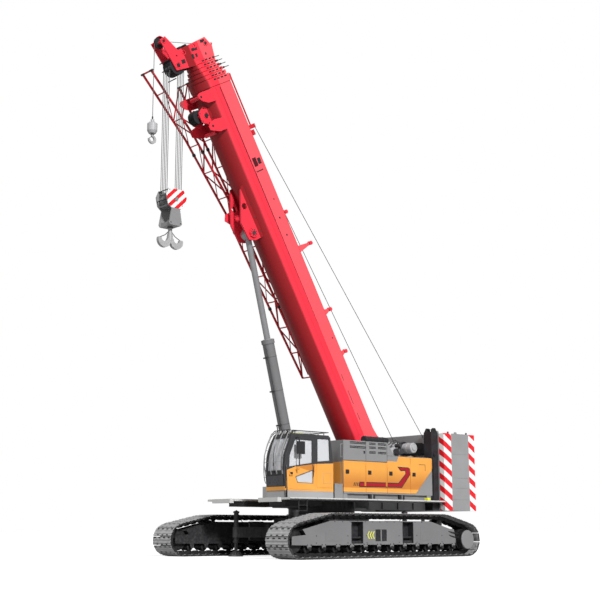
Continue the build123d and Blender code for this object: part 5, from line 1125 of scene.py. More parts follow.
class DressHouses(bpy.types.Operator):
    """Trim bands, latches, louvre backs, roof plates, rails, caps and bolts of both houses"""
    bl_idname = "crane.dress_houses"
    bl_label = "Houses"

    def execute(self, context):
        for side, sign in SIDES:
            count = 4 if side == "left" else 2
            for index in range(count):
                self.door(side, sign, index, f"house_door_{side}_{index + 1}")
        for index in (2, 3):
            self.door("right", -1, index, "upper")
        self.hood()
        return {"FINISHED"}

    def door(self, side, sign, index, body):
        """Trim of one door: its part of the band, ticks or accent line, latch and lower lip."""
        low, high = SEAMS[index] + 0.009, SEAMS[index + 1] - 0.009
        face = sign * HOUSE_SIDE
        name = f"house_door_{side}_{index + 1}"
        for label, margin, paint, proud in (("outline", 0.030, "black fittings", 0.002),
                                            ("band", 0.0, "trim red", 0.0035)):
            if index < 3:
                strip = sticker(swollen(BAND, margin), face, proud)
                outward_faces(strip)
                if low > BAND[0][0] - 0.03 or high < 2.6:
                    clipped(strip, max(low, 0.0), min(high, 2.7))
                if len(strip.data.polygons):
                    done(outward_faces(strip), f"{name}_trim_{label}", body, paint)
                else:
                    bpy.data.objects.remove(strip)
        if index == 0:
            ticks = [sticker([(y, 2.39), (y + 0.035, 2.39), (y + 0.075, 2.51), (y + 0.04, 2.51)], face, 0.003)
                     for y in (-0.25, -0.17, -0.09, -0.01)]
            done(ticks, f"{name}_ticks", body, "black fittings")
        if index == 3:
            line = sticker([(3.09, 3.245), (3.42, 3.245), (3.42, 3.02), (3.405, 3.02), (3.405, 3.230), (3.09, 3.230)],
                           face, 0.003)
            done(line, f"{name}_accent", body, "black fittings")
        latch_y = SEAMS[index] + 0.11
        parts = [block((face, latch_y - 0.01, 2.80), (face + sign * 0.019, latch_y + 0.15, 2.94), 0.006),
                 block((face + sign * 0.012, latch_y + 0.03, 2.855), (face + sign * 0.030, latch_y + 0.11, 2.885),
                       0.003)]
        done(parts, f"{name}_latch", body, "black fittings")
        end = 2.90 if index == 3 else high
        # Painted highlight: a pale amber strip along the door's lower lip.
        lip = sticker([(low + 0.02, 2.225), (end - 0.02, 2.225), (end - 0.02, 2.205), (low + 0.02, 2.205)], face,
                      0.004, 0.001)
        done(lip, f"{name}_lip", body, "amber highlight")

    def hood(self):
        """Louvre backs, seams, handle, roof plates, front covers, grab rails, caps and clamps of both houses."""
        # Painted shade: black backs inside the louvre slots, each with a thin black bar across it.
        backs = []
        for y_low, y_high, rises in HOOD_LOUVRES:
            for z in rises:
                backs.append(block((HOUSE_SIDE - 0.0299, y_low + 0.01, z - 0.034),
                                   (HOUSE_SIDE - 0.022, y_high - 0.01, z + 0.034), 0))
                backs.append(block((HOUSE_SIDE - 0.029, (y_low + y_high) / 2 - 0.006, z - 0.036),
                                   (HOUSE_SIDE - 0.003, (y_low + y_high) / 2 + 0.006, z + 0.036), 0))
        done(both_sides(backs), "hood_louvre_backs", "upper", "black fittings")
        seams = [block((HOUSE_SIDE, y, 3.26), (HOUSE_SIDE + 0.0015, y + 0.012, 3.94), 0) for y in (0.36, 1.42)]
        seams.append(block((HOUSE_SIDE, -0.70, 3.252), (HOUSE_SIDE + 0.0015, 1.42, 3.262), 0))
        handle = block((HOUSE_SIDE, 0.255, 3.515), (HOUSE_SIDE + 0.025, 0.315, 3.61), 0.01)
        done(both_sides([*seams, handle]), "hood_seams", "upper", "black fittings")
        roof = [block((0.95, -0.60, 3.95), (1.82, 0.30, 3.957), 0.003),
                block((0.95, 0.38, 3.95), (1.82, 0.90, 3.957), 0.003),
                block((0.86, 1.85, 3.5), (1.84, 2.60, 3.506), 0.003),
                block((0.86, 2.66, 3.5), (1.84, 3.72, 3.506), 0.003)]
        done(both_sides(roof), "roof_plates", "upper", "house grey")
        spots = [(x, y, 3.957) for x in (0.99, 1.78) for y in (-0.56, -0.15, 0.26, 0.42, 0.86)]
        spots += [(x, y, 3.506) for x in (0.90, 1.80) for y in (1.90, 2.55, 2.71, 3.20, 3.68)]
        done(both_sides(bolts(spots, (0, 0, 1), 0.012)), "roof_bolts", "upper", "dark fittings")
        front = block((1.0, -0.728, 2.20), (1.80, -0.72, 3.20), 0.003)
        done(both_sides(front), "house_front_covers", "upper", "plain amber")
        grab = side_tube(1.85, [(-0.72, 3.35), (-0.80, 3.36), (-0.80, 3.80), (-0.72, 3.81)], 0.012)
        done(both_sides(grab), "house_grab_rails", "upper", "galvanised", soft=35)
        cap = [rod((1.20, 1.75, 3.62), (1.20, 1.75, 3.70), 0.05, 20, 0.01),
               rod((1.62, 3.3, 3.5), (1.62, 3.3, 3.58), 0.06, 20, 0.01)]
        done(cap, "filler_caps", "upper", "black fittings", soft=35)
        pipe = [ring((1.2, y, 4.08), (0, 1, 0), 0.127, 0.008) for y in (1.03, 1.30, 1.60, 1.9)]
        pipe.append(rod((1.2, 0.96, 3.95), (1.2, 0.96, 4.05), 0.07, 20))
        pipe.append(ring((1.2, 2.118, 4.08), (0, 1, 0), 0.109, 0.012))
        done(pipe, "muffler_clamps", "upper", "dark fittings", soft=35)


class DressCab(bpy.types.Operator):
    """Rails, wiper, lamps, panels, window rubbers and the driver's controls"""
    bl_idname = "crane.dress_cab"
    bl_label = "Cab"

    def execute(self, context):
        strip = side_slab([(-3.335, 2.172), (-3.356, 2.30), (-3.375, 2.30), (-3.358, 2.172)], 0.955, 1.895, 0.004)
        done(strip, "cab_front_strip", "upper", "plain amber")
        panel = side_slab([(-3.372, 2.32), (-3.405, 2.66), (-3.414, 2.66), (-3.382, 2.32)], 1.02, 1.84, 0.003)
        done(panel, "cab_front_lower_pane", "upper", "pane grey")
        frame_bits = [side_slab([(-3.41, 2.69), (-3.412, 2.80), (-3.424, 2.80), (-3.422, 2.69)], 0.96, 1.89, 0.003)]
        frame_bits += [side_slab([(-3.405, 2.80), (-3.352, 3.335), (-3.09, 3.935), (-3.10, 3.94), (-3.364, 3.337),
                                  (-3.417, 2.80)], x, x + 0.035, 0.003) for x in (1.005, 1.81)]
        done(frame_bits, "cab_front_frame", "upper", "dark fittings")
        base = [block((0.955, -3.345, DECK + 0.005), (1.903, -3.25, 2.168), 0.004),
                block((1.84, -3.345, DECK + 0.005), (1.903, -1.20, 2.168), 0.004)]
        done(base, "cab_base_trim", "upper", "sill grey")
        # Painted highlights: pale amber strips along the cab's sills.
        sill = block((1.9, -3.18, 2.20), (1.906, -2.06, 2.212), 0.001)
        line = block((1.9, -2.00, 2.30), (1.903, -1.25, 2.312), 0.001)
        done(line, "cab_sill_line", "upper", "amber highlight")
        done(sill, "cab_door_sill_line", "cab_door", "amber highlight")
        hatch = side_slab([(-1.64, 2.45), (-1.34, 2.45), (-1.34, 2.76), (-1.64, 2.76)], 1.915, 1.919, 0.002)
        edge = side_tube(1.917, [(-1.66, 2.43), (-1.32, 2.43), (-1.32, 2.78), (-1.66, 2.78), (-1.66, 2.43)], 0.004)
        done(hatch, "cab_side_hatch", "upper", "plain amber")
        done(edge, "cab_hatch_edge", "upper", "sill grey")
        self.rails(context.scene.crane_sizes.rail)
        self.outside()
        self.inside()
        return {"FINISHED"}

    def rails(self, radius):
        """Bent hand rails in front of the cab and round its roof."""
        rails = []
        for x, reach in ((0.97, 0.0), (1.16, 0.05), (1.86, 0.0)):
            rails.append(side_tube(x, [(-3.40, 2.42), (-3.47 - reach, 2.50), (-3.50 - reach, 3.05),
                                       (-3.46 - reach, 3.40), (-3.22 - reach, 3.92), (-3.02, 4.13), (-2.72, 4.15)],
                                   radius * 0.75, True))
        for z in (2.62, 2.92, 3.22, 3.50, 3.78):
            lean = -3.405 + max(0, z - 3.33) * 0.43
            for x in (0.97, 1.86):
                rails.append(side_tube(x, [(lean - 0.01, z), (lean - 0.085, z)], 0.008))
        rails.append(tube([(0.99, -3.13, 4.05), (0.99, -3.08, 4.16), (1.20, -3.08, 4.17), (1.65, -3.08, 4.17),
                           (1.86, -3.08, 4.16), (1.86, -3.13, 4.05)], radius * 0.8, True))
        rails.append(tube([(0.97, -3.02, 4.15), (0.97, -1.40, 4.15), (1.88, -1.40, 4.15), (1.88, -3.02, 4.15)],
                          radius * 0.8))
        done(rails, "cab_hand_rails", "upper", "dark fittings", soft=40)
        ladder = tube([(1.93, -3.30, 2.0), (1.96, -3.32, 2.2), (1.96, -3.36, 2.9), (1.93, -3.33, 3.0)], 0.014, True)
        done(ladder, "cab_entry_rail", "upper", "dark fittings", soft=40)

    def outside(self):
        """Wiper, lamps, roof hatch, window rubbers, mirror back and door handle."""
        wiper = [tube([(1.42, -3.43, 2.78), (1.40, -3.435, 3.1), (1.37, -3.40, 3.42)], 0.009),
                 side_slab([(-3.422, 2.98), (-3.432, 2.98), (-3.375, 3.62), (-3.365, 3.62)], 1.355, 1.375, 0.001),
                 rod((1.42, -3.40, 2.78), (1.42, -3.445, 2.78), 0.03, 16)]
        done(wiper, "cab_wiper", "upper", "black fittings", soft=40)
        lamps = []
        backs = []
        for x in (1.06, 1.30, 1.56, 1.80):
            backs.append(rod((x, -3.04, 4.11), (x, -2.96, 4.11), 0.055, 20, 0.01))
            lamps.append(rod((x, -3.055, 4.11), (x, -3.038, 4.11), 0.046, 20, 0.006))
        done(backs, "cab_lamp_shells", "upper", "black fittings", soft=35)
        done(lamps, "cab_lamp_lenses", "upper", "clear lamp", soft=35)
        hatch = block((1.22, -2.72, 4.08), (1.63, -2.28, 4.092), 0.006)
        done(hatch, "cab_roof_hatch", "upper", "accent yellow")
        rubber = []
        for outline in ([(-3.19, 2.94), (-3.17, 3.32), (-2.92, 3.86), (-2.17, 3.86), (-2.17, 3.10)],
                        [(-2.90, 2.63), (-2.13, 2.87), (-2.13, 2.43), (-2.81, 2.44)]):
            rubber.append(side_tube(1.899, outline + outline[:1], 0.009))
        done(rubber, "cab_door_window_rubber", "cab_door", "rubber", soft=40)
        rear = [(-1.93, 3.93), (-1.40, 3.93), (-1.36, 3.20), (-1.93, 3.15)]
        done(side_tube(1.899, rear + rear[:1], 0.009), "cab_rear_window_rubber", "upper", "rubber", soft=40)
        shell = side_slab([(-2.975, 3.38), (-2.985, 3.57), (-2.975, 3.76), (-2.83, 3.775), (-2.685, 3.76),
                           (-2.675, 3.57), (-2.685, 3.38), (-2.83, 3.365)], 2.109, 2.118, 0.004)
        done(shell, "cab_mirror_back", "cab_door", "black fittings", soft=30)
        grip = [block((1.94, -3.17, 2.69), (1.948, -3.06, 2.77), 0.004),
                tube([(1.90, -2.14, 2.62), (1.94, -2.14, 2.64), (1.94, -2.14, 3.02), (1.90, -2.14, 3.04)], 0.012,
                     True)]
        done(grip, "cab_door_handle", "cab_door", "black fittings", soft=40)

    def inside(self):
        """Lining, desk with pedals, screen and seat seams."""
        lining = [block((1.02, -3.24, 2.232), (1.83, -1.28, 2.25), 0.004),
                  block((1.02, -3.0, 3.975), (1.83, -1.45, 3.988), 0.004),
                  block((1.02, -1.29, 2.25), (1.83, -1.265, 3.10), 0.004)]
        done(lining, "cab_lining", "upper", "cab lining")
        desk = [slab([(1.04, -3.27, 2.70), (1.04, -3.30, 2.86), (1.04, -3.14, 2.92), (1.04, -3.10, 2.78)],
                     (0.78, 0, 0), 0.01), side_tube(1.41, [(-3.12, 2.27), (-3.10, 2.6), (-3.02, 2.95)], 0.03),
                block((1.62, -3.08, 2.96), (1.80, -3.05, 3.20), 0.01),
                side_tube(1.71, [(-3.14, 2.85), (-3.08, 3.0)], 0.012)]
        for x in (1.25, 1.55):
            desk.append(side_slab([(-3.0, 2.26), (-3.12, 2.40), (-3.10, 2.41), (-2.98, 2.27)], x, x + 0.09, 0.004))
        done(desk, "cab_desk", "upper", "rubber")
        done(block((1.64, -3.048, 2.98), (1.78, -3.044, 3.18), 0.002), "cab_screen", "upper", "clear lamp")
        cover = []
        for x in (1.25, 1.33, 1.41, 1.49, 1.57):
            cover.append(side_tube(x, [(-2.46, 2.703), (-2.1, 2.706)], 0.006))
            cover.append(side_tube(x, [(-1.985, 2.85), (-1.925, 3.35)], 0.006))
        done(cover, "cab_seat_seams", "upper", "seat cover", soft=40)


class DressWinches(bpy.types.Operator):
    """Wound rope, drum bolts, flanges, gearboxes, motor and the boom pin's caps"""
    bl_idname = "crane.dress_winches"
    bl_label = "Winches"

    def execute(self, context):
        rope = context.scene.crane_sizes.rope
        for body, y, z in (("main_winch_drum", *MAIN_WINCH), ("second_winch_drum", *SECOND_WINCH)):
            turns = [(-0.385 + step * 0.0226, 0, 0) for step in range(35)]
            coil = ring((0, y, z), (1, 0, 0), 0.2195, rope * 1.05, 40, 8)
            done(repeated(coil, shifts(turns)), f"{body}_rope", body, "wire rope", soft=60)
            for label, sign in SIDES:
                face = (sign * 0.44, y, z)
                trim = [bolts(ring_spots(face, "x", 0.21, 12), (sign, 0, 0), 0.012),
                        ring((sign * 0.40, y, z), (1, 0, 0), 0.262, 0.007)]
                done(trim, f"{body}_flange_bolts_{label}", body, "black fittings")
        for label, sign in SIDES:
            end = (sign * 1.30, *MAIN_WINCH)
            flange = axle(sign * 0.71, sign * 0.82, MAIN_WINCH, 0.255, 48, 0.01)
            done(flange, f"main_winch_flange_{label}", "upper", "black fittings", soft=35)
            trim = [bolts(ring_spots(end, "x", 0.145, 10), (sign, 0, 0), 0.013),
                    axle(sign * 0.82, sign * 1.30, MAIN_WINCH, 0.19, 40, 0.02),
                    axle(sign * 1.29, sign * 1.33, MAIN_WINCH, 0.10, 28, 0.01),
                    ring((sign * 1.06, *MAIN_WINCH), (1, 0, 0), 0.19, 0.010)]
            done(trim, f"main_winch_gearbox_{label}", "upper", "drum grey", soft=35)
        motor = [block((0.72, 2.98, 3.66), (1.02, 3.22, 3.86), 0.02), axle(0.72, 1.0, (3.10, 3.98), 0.07, 24, 0.01),
                 tube([(0.86, 3.1, 3.98), (0.86, 3.1, 4.15), (0.86, 2.8, 4.18), (0.80, 2.5, 3.9)], 0.018, True),
                 tube([(0.92, 3.1, 3.98), (0.92, 3.15, 4.12), (0.92, 2.85, 4.10), (0.84, 2.5, 3.8)], 0.018, True)]
        done(motor, "winch_motor_and_hoses", "upper", "dark fittings", soft=40)
        self.frames()
        return {"FINISHED"}

    def frames(self):
        """Pin caps and stiffeners on the side plates that carry the boom."""
        parts = []
        for sign in (-1, 1):
            face = sign * 0.73
            parts.append(bolts(ring_spots((face, *BOOM_FOOT), "x", 0.17, 10), (sign, 0, 0), 0.016))
            parts.append(axle(sign * 0.74, sign * 0.775, BOOM_FOOT, 0.105, 32, 0.008))
        done(parts, "boom_pin_caps", "upper", "dark fittings", soft=35)
        ribs = []
        for sign in (-1, 1):
            for y_low, z_low, y_high, z_high in ((-1.40, 2.66, 1.40, 3.44), (2.15, 3.95, 2.9, 3.95)):
                ribs.append(side_tube(sign * 0.705, [(y_low, z_low), (y_high, z_high)], 0.012))
        done(ribs, "side_plate_beads", "upper", "frame grey", soft=40)


class DressCounterweight(bpy.types.Operator):
    """Lifting eyes, post fittings, beam bolts and lamps of the counterweight"""
    bl_idname = "crane.dress_counterweight"
    bl_label = "Counterweight"

    def execute(self, context):
        parts = []
        for sign in (-1, 1):
            for y in (4.465, 5.50):
                parts.append(ring((sign * 1.58, y, 4.53), (1, 0, 0), 0.030, 0.010, 20, 8))
                parts.append(block((sign * 2.08, y - 0.03, 4.425), (sign * 2.14, y + 0.03, 4.50), 0.012))
        done(parts, "counterweight_lifting_eyes", "upper", "dark fittings", soft=35)
        posts = []
        for sign in (-1, 1):
            for x in (1.56, 1.81):
                posts.append(axle(sign * (x - 0.09), sign * (x + 0.09), (POST_Y, 4.56), 0.035, 20))
            posts.append(axle(sign * 1.50, sign * 1.87, (POST_Y, 4.45), 0.03, 16))
            for z in (1.85, 2.35, 2.85, 3.25, 4.0, 4.3):
                posts.append(block((sign * 1.87, 3.84, z), (sign * 1.878, 4.13, z + 0.025), 0.003))
            posts.append(axle(sign * 1.90, sign * 1.925, (POST_Y, 3.64), 0.05, 24, 0.006))
            posts.append(tube([(sign * 1.89, 3.88, 3.55), (sign * 1.91, 3.88, 3.2), (sign * 1.89, 3.88, 2.4),
                               (sign * 1.89, 3.88, 1.98)], 0.014, True))
        done(posts, "counterweight_post_fittings", "upper", "black fittings", soft=35)
        beam = [bolts([(x, 4.125, z) for x in (-1.35, -1.05, 1.05, 1.35) for z in (3.74, 4.04)], (0, -1, 0), 0.02)]
        beam.append(block((-1.45, 4.118, 3.86), (1.45, 4.126, 3.92), 0.003))
        done(beam, "rear_beam_bolts", "upper", "black fittings")
        lamps = [block((sign * 1.95, 5.89, 1.72), (sign * 1.62, 5.897, 1.80), 0.003) for sign in (-1, 1)]
        done(lamps, "rear_lamps", "upper", "red lamp")
        return {"FINISHED"}


# Boom


class DressBoom(bpy.types.Operator):
    """Collar studs, rollers, seams, pins, bolts and openings of the boom, and the jib's joints"""
    bl_idname = "crane.dress_boom"
    bl_label = "Boom"

    def execute(self, context):
        for index in range(6):
            self.collar(index)
        self.base()
        self.guide()
        self.head()
        self.jib()
        return {"FINISHED"}

    def collar(self, index):
        """Pad studs with dark tips and side bolts at the end of one section."""
        body = "boom_base" if index == 0 else f"boom_section_{index + 1}"
        inset = index * SECTION_STEP
        end = BASE_END + index * COLLAR_STEP
        top = BOOM_TOP - inset + 0.03
        half = BOOM_HALF - inset + 0.03
        studs = []
        tips = []
        for x in (-0.30, -0.10, 0.10, 0.30):
            spot = Vector((x * (1 - index * 0.06), -end + 0.06, top))
            studs.append(rod(spot - up_by(0.01), spot + up_by(0.05), 0.028, 12))
            tips.append(rod(spot + up_by(0.045), spot + up_by(0.075), 0.018, 6, 0.002))
        for sign in (-1, 1):
            for rise in (-0.10, -0.28, -0.46, -0.62):
                tips.append(block((sign * (half - 0.012), -end + 0.035, rise - 0.055),
                                  (sign * (half + 0.008), -end + 0.085, rise + 0.055), 0.004))
            if index > 1:
                spot = Vector((sign * (half - 0.09), -end + 0.06, top - 0.01))
                tips.append(rod(spot, spot + up_by(0.17), 0.034, 12, 0.004))
                tips.append(rod(spot + up_by(0.16), spot + up_by(0.40), 0.013, 10, 0.002))
        done(studs, f"boom_{index + 1}_pad_studs", body, "boom red", BOOM, soft=35)
        done(tips, f"boom_{index + 1}_stud_tips", body, "black fittings", BOOM, soft=35)

    def base(self):
        """Rope rollers, welds, side slots and seams, bracket bolts and cable tube on the base section."""
        rollers = []
        for distance, height in ((3.9, 0.42), (5.56, 0.50), (8.07, 0.85), (9.5, 0.30)):
            rollers.append(axle(0.24, 0.36, (-distance, height), 0.045, 20, 0.006))
            rollers.append(axle(0.225, 0.24, (-distance, height), 0.075, 24, 0.004))
            rollers.append(axle(0.36, 0.375, (-distance, height), 0.075, 24, 0.004))
        done(rollers, "boom_rope_rollers", "boom_base", "boom red", BOOM, soft=35)
        welds = []
        for sign in (-1, 1):
            for rise in (0.045, -0.715):
                welds.append(side_tube(sign * 0.511, [(-1.0, rise), (-14.5, rise)], 0.006))
        done(welds, "boom_base_welds", "boom_base", "boom red", BOOM, soft=50)
        dark = []
        seams = []
        for sign in (-1, 1):
            side = sign * BOOM_HALF
            # Painted shade: black stickers for the slots and holes in the base section's sides.
            for low, high, start, end in ((-0.392, -0.375, 1.45, 1.75), (-0.392, -0.375, 2.1, 2.65),
                                          (-0.392, -0.375, 3.05, 3.3), (-0.45, -0.11, 11.22, 11.26),
                                          (-0.70, -0.50, 14.58, 14.64), (-0.20, -0.05, 11.46, 11.68)):
                dark.append(boom_sticker([(start, low), (end, low), (end, high), (start, high)], side, 0.004))
            for distance, rise, size in ((10.12, -0.17, 0.028), (4.64, -0.10, 0.028), (9.43, -0.25, 0.035),
                                         (8.77, -0.25, 0.035)):
                dark.append(axle(side, side + sign * 0.006, (-distance, rise), size, 16, 0))
            seams.append(boom_sticker([(5.35, -0.495), (14.45, -0.535), (14.45, -0.505), (5.35, -0.465)], side, 0.003))
            seams.append(boom_sticker([(11.42, -0.42), (11.74, -0.42), (11.74, -0.24), (11.42, -0.24)], side, 0.005))
        done(dark, "boom_side_slots", "boom_base", "black fittings", BOOM)
        done(seams, "boom_side_seams", "boom_base", "seam red", BOOM)
        spots = [(0.315, -start, rise) for start, rise in ((9.3, -1.15), (9.8, -1.15), (10.3, -1.12), (10.85, -1.12))]
        plate = [bolts(spots, (1, 0, 0), 0.018), bolts([(-x, y, z) for x, y, z in spots], (-1, 0, 0), 0.018)]
        for sign in (-1, 1):
            eye = (sign * 0.375, -LUFF_EYE[0], LUFF_EYE[1])
            plate.append(bolts(ring_spots(eye, "x", 0.115, 8), (sign, 0, 0), 0.016))
            plate.append(axle(sign * 0.375, sign * 0.40, eye[1:], 0.075, 24, 0.008))
        done(plate, "luff_bracket_bolts", "boom_base", "dark fittings", BOOM, soft=35)
        tray = [side_tube(0.47, [(-12.75, 0.17), (-14.72, 0.17)], 0.028),
                block((0.40, -12.85, 0.05), (0.51, -12.70, 0.36), 0.01),
                block((0.44, -14.78, 0.05), (0.50, -14.70, 0.20), 0.01),
                block((0.44, -12.66, 0.06), (0.54, -12.46, 0.20), 0.015)]
        done(tray, "boom_cable_tube", "boom_base", "jib red", BOOM, soft=35)

    def guide(self):
        """Ears, rims, hubs, bolts and pins of the hexagonal plates."""
        dark = []
        red = []
        for sign in (-1, 1):
            face = sign * 0.285
            for outline, (distance, rise) in GUIDE_EARS:
                red.append(boom_slab(outline, sign * (BOOM_HALF + 0.001), sign * (BOOM_HALF + 0.028), 0.004))
                dark.append(axle(sign * (BOOM_HALF + 0.02), sign * (BOOM_HALF + 0.045), (-distance, rise), 0.04, 20,
                                 0.005))
            dark.append(axle(face, face + sign * 0.02, GUIDE_HUB, 0.085, 28, 0.006))
            dark.append(bolts(ring_spots((face, *GUIDE_HUB), "x", 0.27, 6), (sign, 0, 0), 0.016))
            red.append(ring((face, *GUIDE_HUB), (1, 0, 0), 0.115, 0.012))
            for distance in (14.36, 13.06):
                dark.append(axle(sign * 0.28, sign * 0.30, (-distance, -1.30), 0.035, 20, 0.005))
        done(red, "guide_plate_rims", "boom_base", "boom red", BOOM, soft=40)
        done(dark, "guide_plate_bolts", "boom_base", "black fittings", BOOM, soft=35)

    def head(self):
        """Pin rims and caps, dark openings as painted shade, guards, hood, post, rollers and wire at the head."""
        body = "boom_section_6"
        face = BOOM_HALF - 5 * SECTION_STEP - 0.06 + 0.04
        dark = []
        red = []
        for sign in (-1, 1):
            side = sign * face
            for distance, rise, radius in ((*MAIN_PIN, 0.11), (*NOSE_PIN, 0.085), (*ROPE_PIN, 0.085),
                                           (16.08, -0.70, 0.075), (15.98, -1.25, 0.075)):
                red.append(ring((side, -distance, rise), (1, 0, 0), radius, 0.012))
            for distance, rise, radius in ((*MAIN_PIN, 0.07), (*NOSE_PIN, 0.05), (*ROPE_PIN, 0.05)):
                dark.append(axle(side, side + sign * 0.022, (-distance, rise), radius, 24, 0.005))
                dark.append(bolts(ring_spots((side, -distance, rise), "x", radius + 0.045, 6), (sign, 0, 0), 0.010))
            # Painted shade: black stickers where the head plates have openings.
            for distance, rise, length, height in HEAD_OPENINGS:
                dark.append(boom_sticker([(distance, rise), (distance + length, rise + 0.02),
                                          (distance + length, rise - height), (distance, rise - height)], side, 0.003))
        red.append(axle(-face, face, (-15.95, -1.60), 0.03, 16))
        for distance, rise in ((15.24, -1.98), (15.90, -2.02), (15.62, -2.06)):
            dark.append(axle(-0.235, 0.235, (-distance, rise), 0.018, 12))
        turns = [math.radians(step) for step in range(14, 141, 12)]
        edge = [(0.232, turn) for turn in turns] + [(0.208, turn) for turn in turns[::-1]]
        hood = [(NOSE_PIN[0] + radius * math.cos(turn), NOSE_PIN[1] + radius * math.sin(turn))
                for radius, turn in edge]
        red.append(boom_slab(hood, -0.10, 0.10, 0.002))
        red.append(boom_slab([(15.78, 0.03), (15.98, 0.19), (16.01, 0.16), (15.84, 0.03)], 0.20, 0.235))
        done(red, "boom_head_trim", body, "boom red", BOOM, soft=35)
        for distance, rise in ((16.17, -1.22), (16.19, -0.95)):
            dark.append(axle(-0.16, 0.16, (-distance, rise), 0.055, 20, 0.008))
        done(dark, "boom_head_fittings", body, "black fittings", BOOM, soft=35)
        wire = tube([(0.10, -16.52, -1.655), (0.16, -16.2, -0.7), (0.217, -15.99, 0.175)], 0.009)
        done(wire, "boom_head_wire", body, "wire rope", BOOM, soft=60)

    def jib(self):
        """Joint flanges, pins and cross braces of the stowed jib."""
        upper = ((3.5, -0.42), (11.03, -0.66), (15.0, -0.86))
        lower = ((3.5, -0.76), (7.56, -1.01), (10.15, -1.11), (13.21, -1.53), (15.84, -2.16))

        def rise_on(line, distance):
            for first, second in zip(line, line[1:]):
                if distance <= second[0] or second is line[-1]:
                    share = (distance - first[0]) / (second[0] - first[0])
                    return first[1] + share * (second[1] - first[1])

        flanges = []
        for distance in (6.4, 9.5, 12.6):
            for line in (upper, lower):
                rise = rise_on(line, distance)
                for x in JIB_SIDES:
                    flanges.append(rod((x, -distance + 0.05, rise), (x, -distance - 0.05, rise), 0.062, 16, 0.006))
        for line, distance in ((upper, 15.0), (lower, 15.84)):
            for x in JIB_SIDES:
                rise = rise_on(line, distance)
                flanges.append(axle(x - 0.09, x + 0.09, (-distance, rise), 0.036, 16))
        done(flanges, "jib_joint_pins", "boom_base", "black fittings", BOOM, soft=35)
        bars = [axle(-1.12, -0.61, (-15.84, rise_on(lower, 15.84)), 0.03, 16)]
        for index in range(12):
            start = 3.5 + index * 11.5 / 11
            end = min(15.0, start + 11.5 / 11)
            for line in (upper, lower):
                bars.append(tube([(-1.13, -start, rise_on(line, start)), (-0.60, -end, rise_on(line, end))], 0.016))
        done(bars, "jib_cross_braces", "boom_base", "jib red", BOOM, soft=40)


class RunRopes(bpy.types.Operator):
    """Hoist rope along the boom, pendant line, and the cylinder's pipes"""
    bl_idname = "crane.run_ropes"
    bl_label = "Ropes and pipes"

    def execute(self, context):
        radius = context.scene.crane_sizes.rope
        drum = Vector((0.30, MAIN_WINCH[0], MAIN_WINCH[1] + 0.236))
        head = on_boom(ROPE_PIN[0], ROPE_PIN[1] + 0.192)
        stations = [drum + (head - drum) * (step / 40) for step in range(41)]

        def length_of(point):
            return -(BOOM.inverted() @ point).y

        first = [point for point in stations if length_of(point) <= 9.5]
        done(tube(first, radius, sides=2), "hoist_rope_to_winch", "upper", "wire rope", soft=60,
             span=("boom_base", first[0], first[8]))
        start = first[-1]
        for index in range(5):
            low = start + (head - start) * index / 5
            high = start + (head - start) * (index + 1) / 5
            points = [low + (high - low) * step / 6 for step in range(7)]
            low_body = "boom_base" if index == 0 else f"boom_section_{index + 1}"
            done(tube(points, radius, sides=2), f"hoist_rope_{index + 1}", low_body, "wire rope", soft=60,
                 span=(f"boom_section_{index + 2}", low, high))
        self.pendant(radius)
        self.cylinder()
        return {"FINISHED"}

    def pendant(self, radius):
        """Line from the bracket on the boom's top to the rear beam, with its sockets."""
        rear = Vector(PENDANT_FOOT)
        front = on_boom(12.78, 0.33, 0.47)
        points = [rear + (front - rear) * step / 40 for step in range(41)]
        done(tube(points, radius, sides=2), "pendant_line", "upper", "wire rope", soft=60,
             span=("boom_base", points[0], points[12]))
        foot = [side_slab([(4.02, 4.10), (4.02, 4.24), (4.05, 4.29), (4.10, 4.29), (4.15, 4.10)], 1.25, 1.29, 0.004),
                axle(1.22, 1.32, PENDANT_FOOT[1:], 0.022, 16), block((1.18, 4.08, 4.08), (1.36, 4.16, 4.13), 0.006)]
        done(foot, "pendant_anchor", "upper", "galvanised", soft=35)

    def cylinder(self):
        """Pipes, clamps, gland ring and bolts on the luffing cylinder."""
        eye = on_boom(*LUFF_EYE)
        run = (eye - CYL_FOOT).normalized()
        line = Matrix.Translation(CYL_FOOT) @ Matrix.Rotation(-math.atan2(run.y, run.z), 4, "X")
        pipes = [tube([(0.10, -0.235, 0.55), (0.10, -0.235, 5.1), (0.06, -0.23, 5.25)], 0.018),
                 side_tube(-0.10, [(-0.235, 0.55), (-0.235, 2.4)], 0.018),
                 block((-0.12, -0.26, 0.45), (0.12, -0.20, 0.62), 0.012)]
        for z in (1.2, 2.4, 3.6, 4.8):
            pipes.append(block((-0.13, -0.255, z), (0.13, -0.205, z + 0.05), 0.006))
            pipes.append(ring((0, 0, z + 0.025), (0, 0, 1), 0.208, 0.008, 36, 6))
        done(pipes, "luff_cylinder_pipes", "luff_barrel", "dark fittings", line, soft=35)
        gland = [bolts(ring_spots((0, 0, 5.44), "z", 0.175, 14), (0, 0, 1), 0.014),
                 ring((0, 0, 5.45), (0, 0, 1), 0.135, 0.014, 36, 8)]
        done(gland, "luff_cylinder_gland", "luff_barrel", "galvanised", line, soft=35)


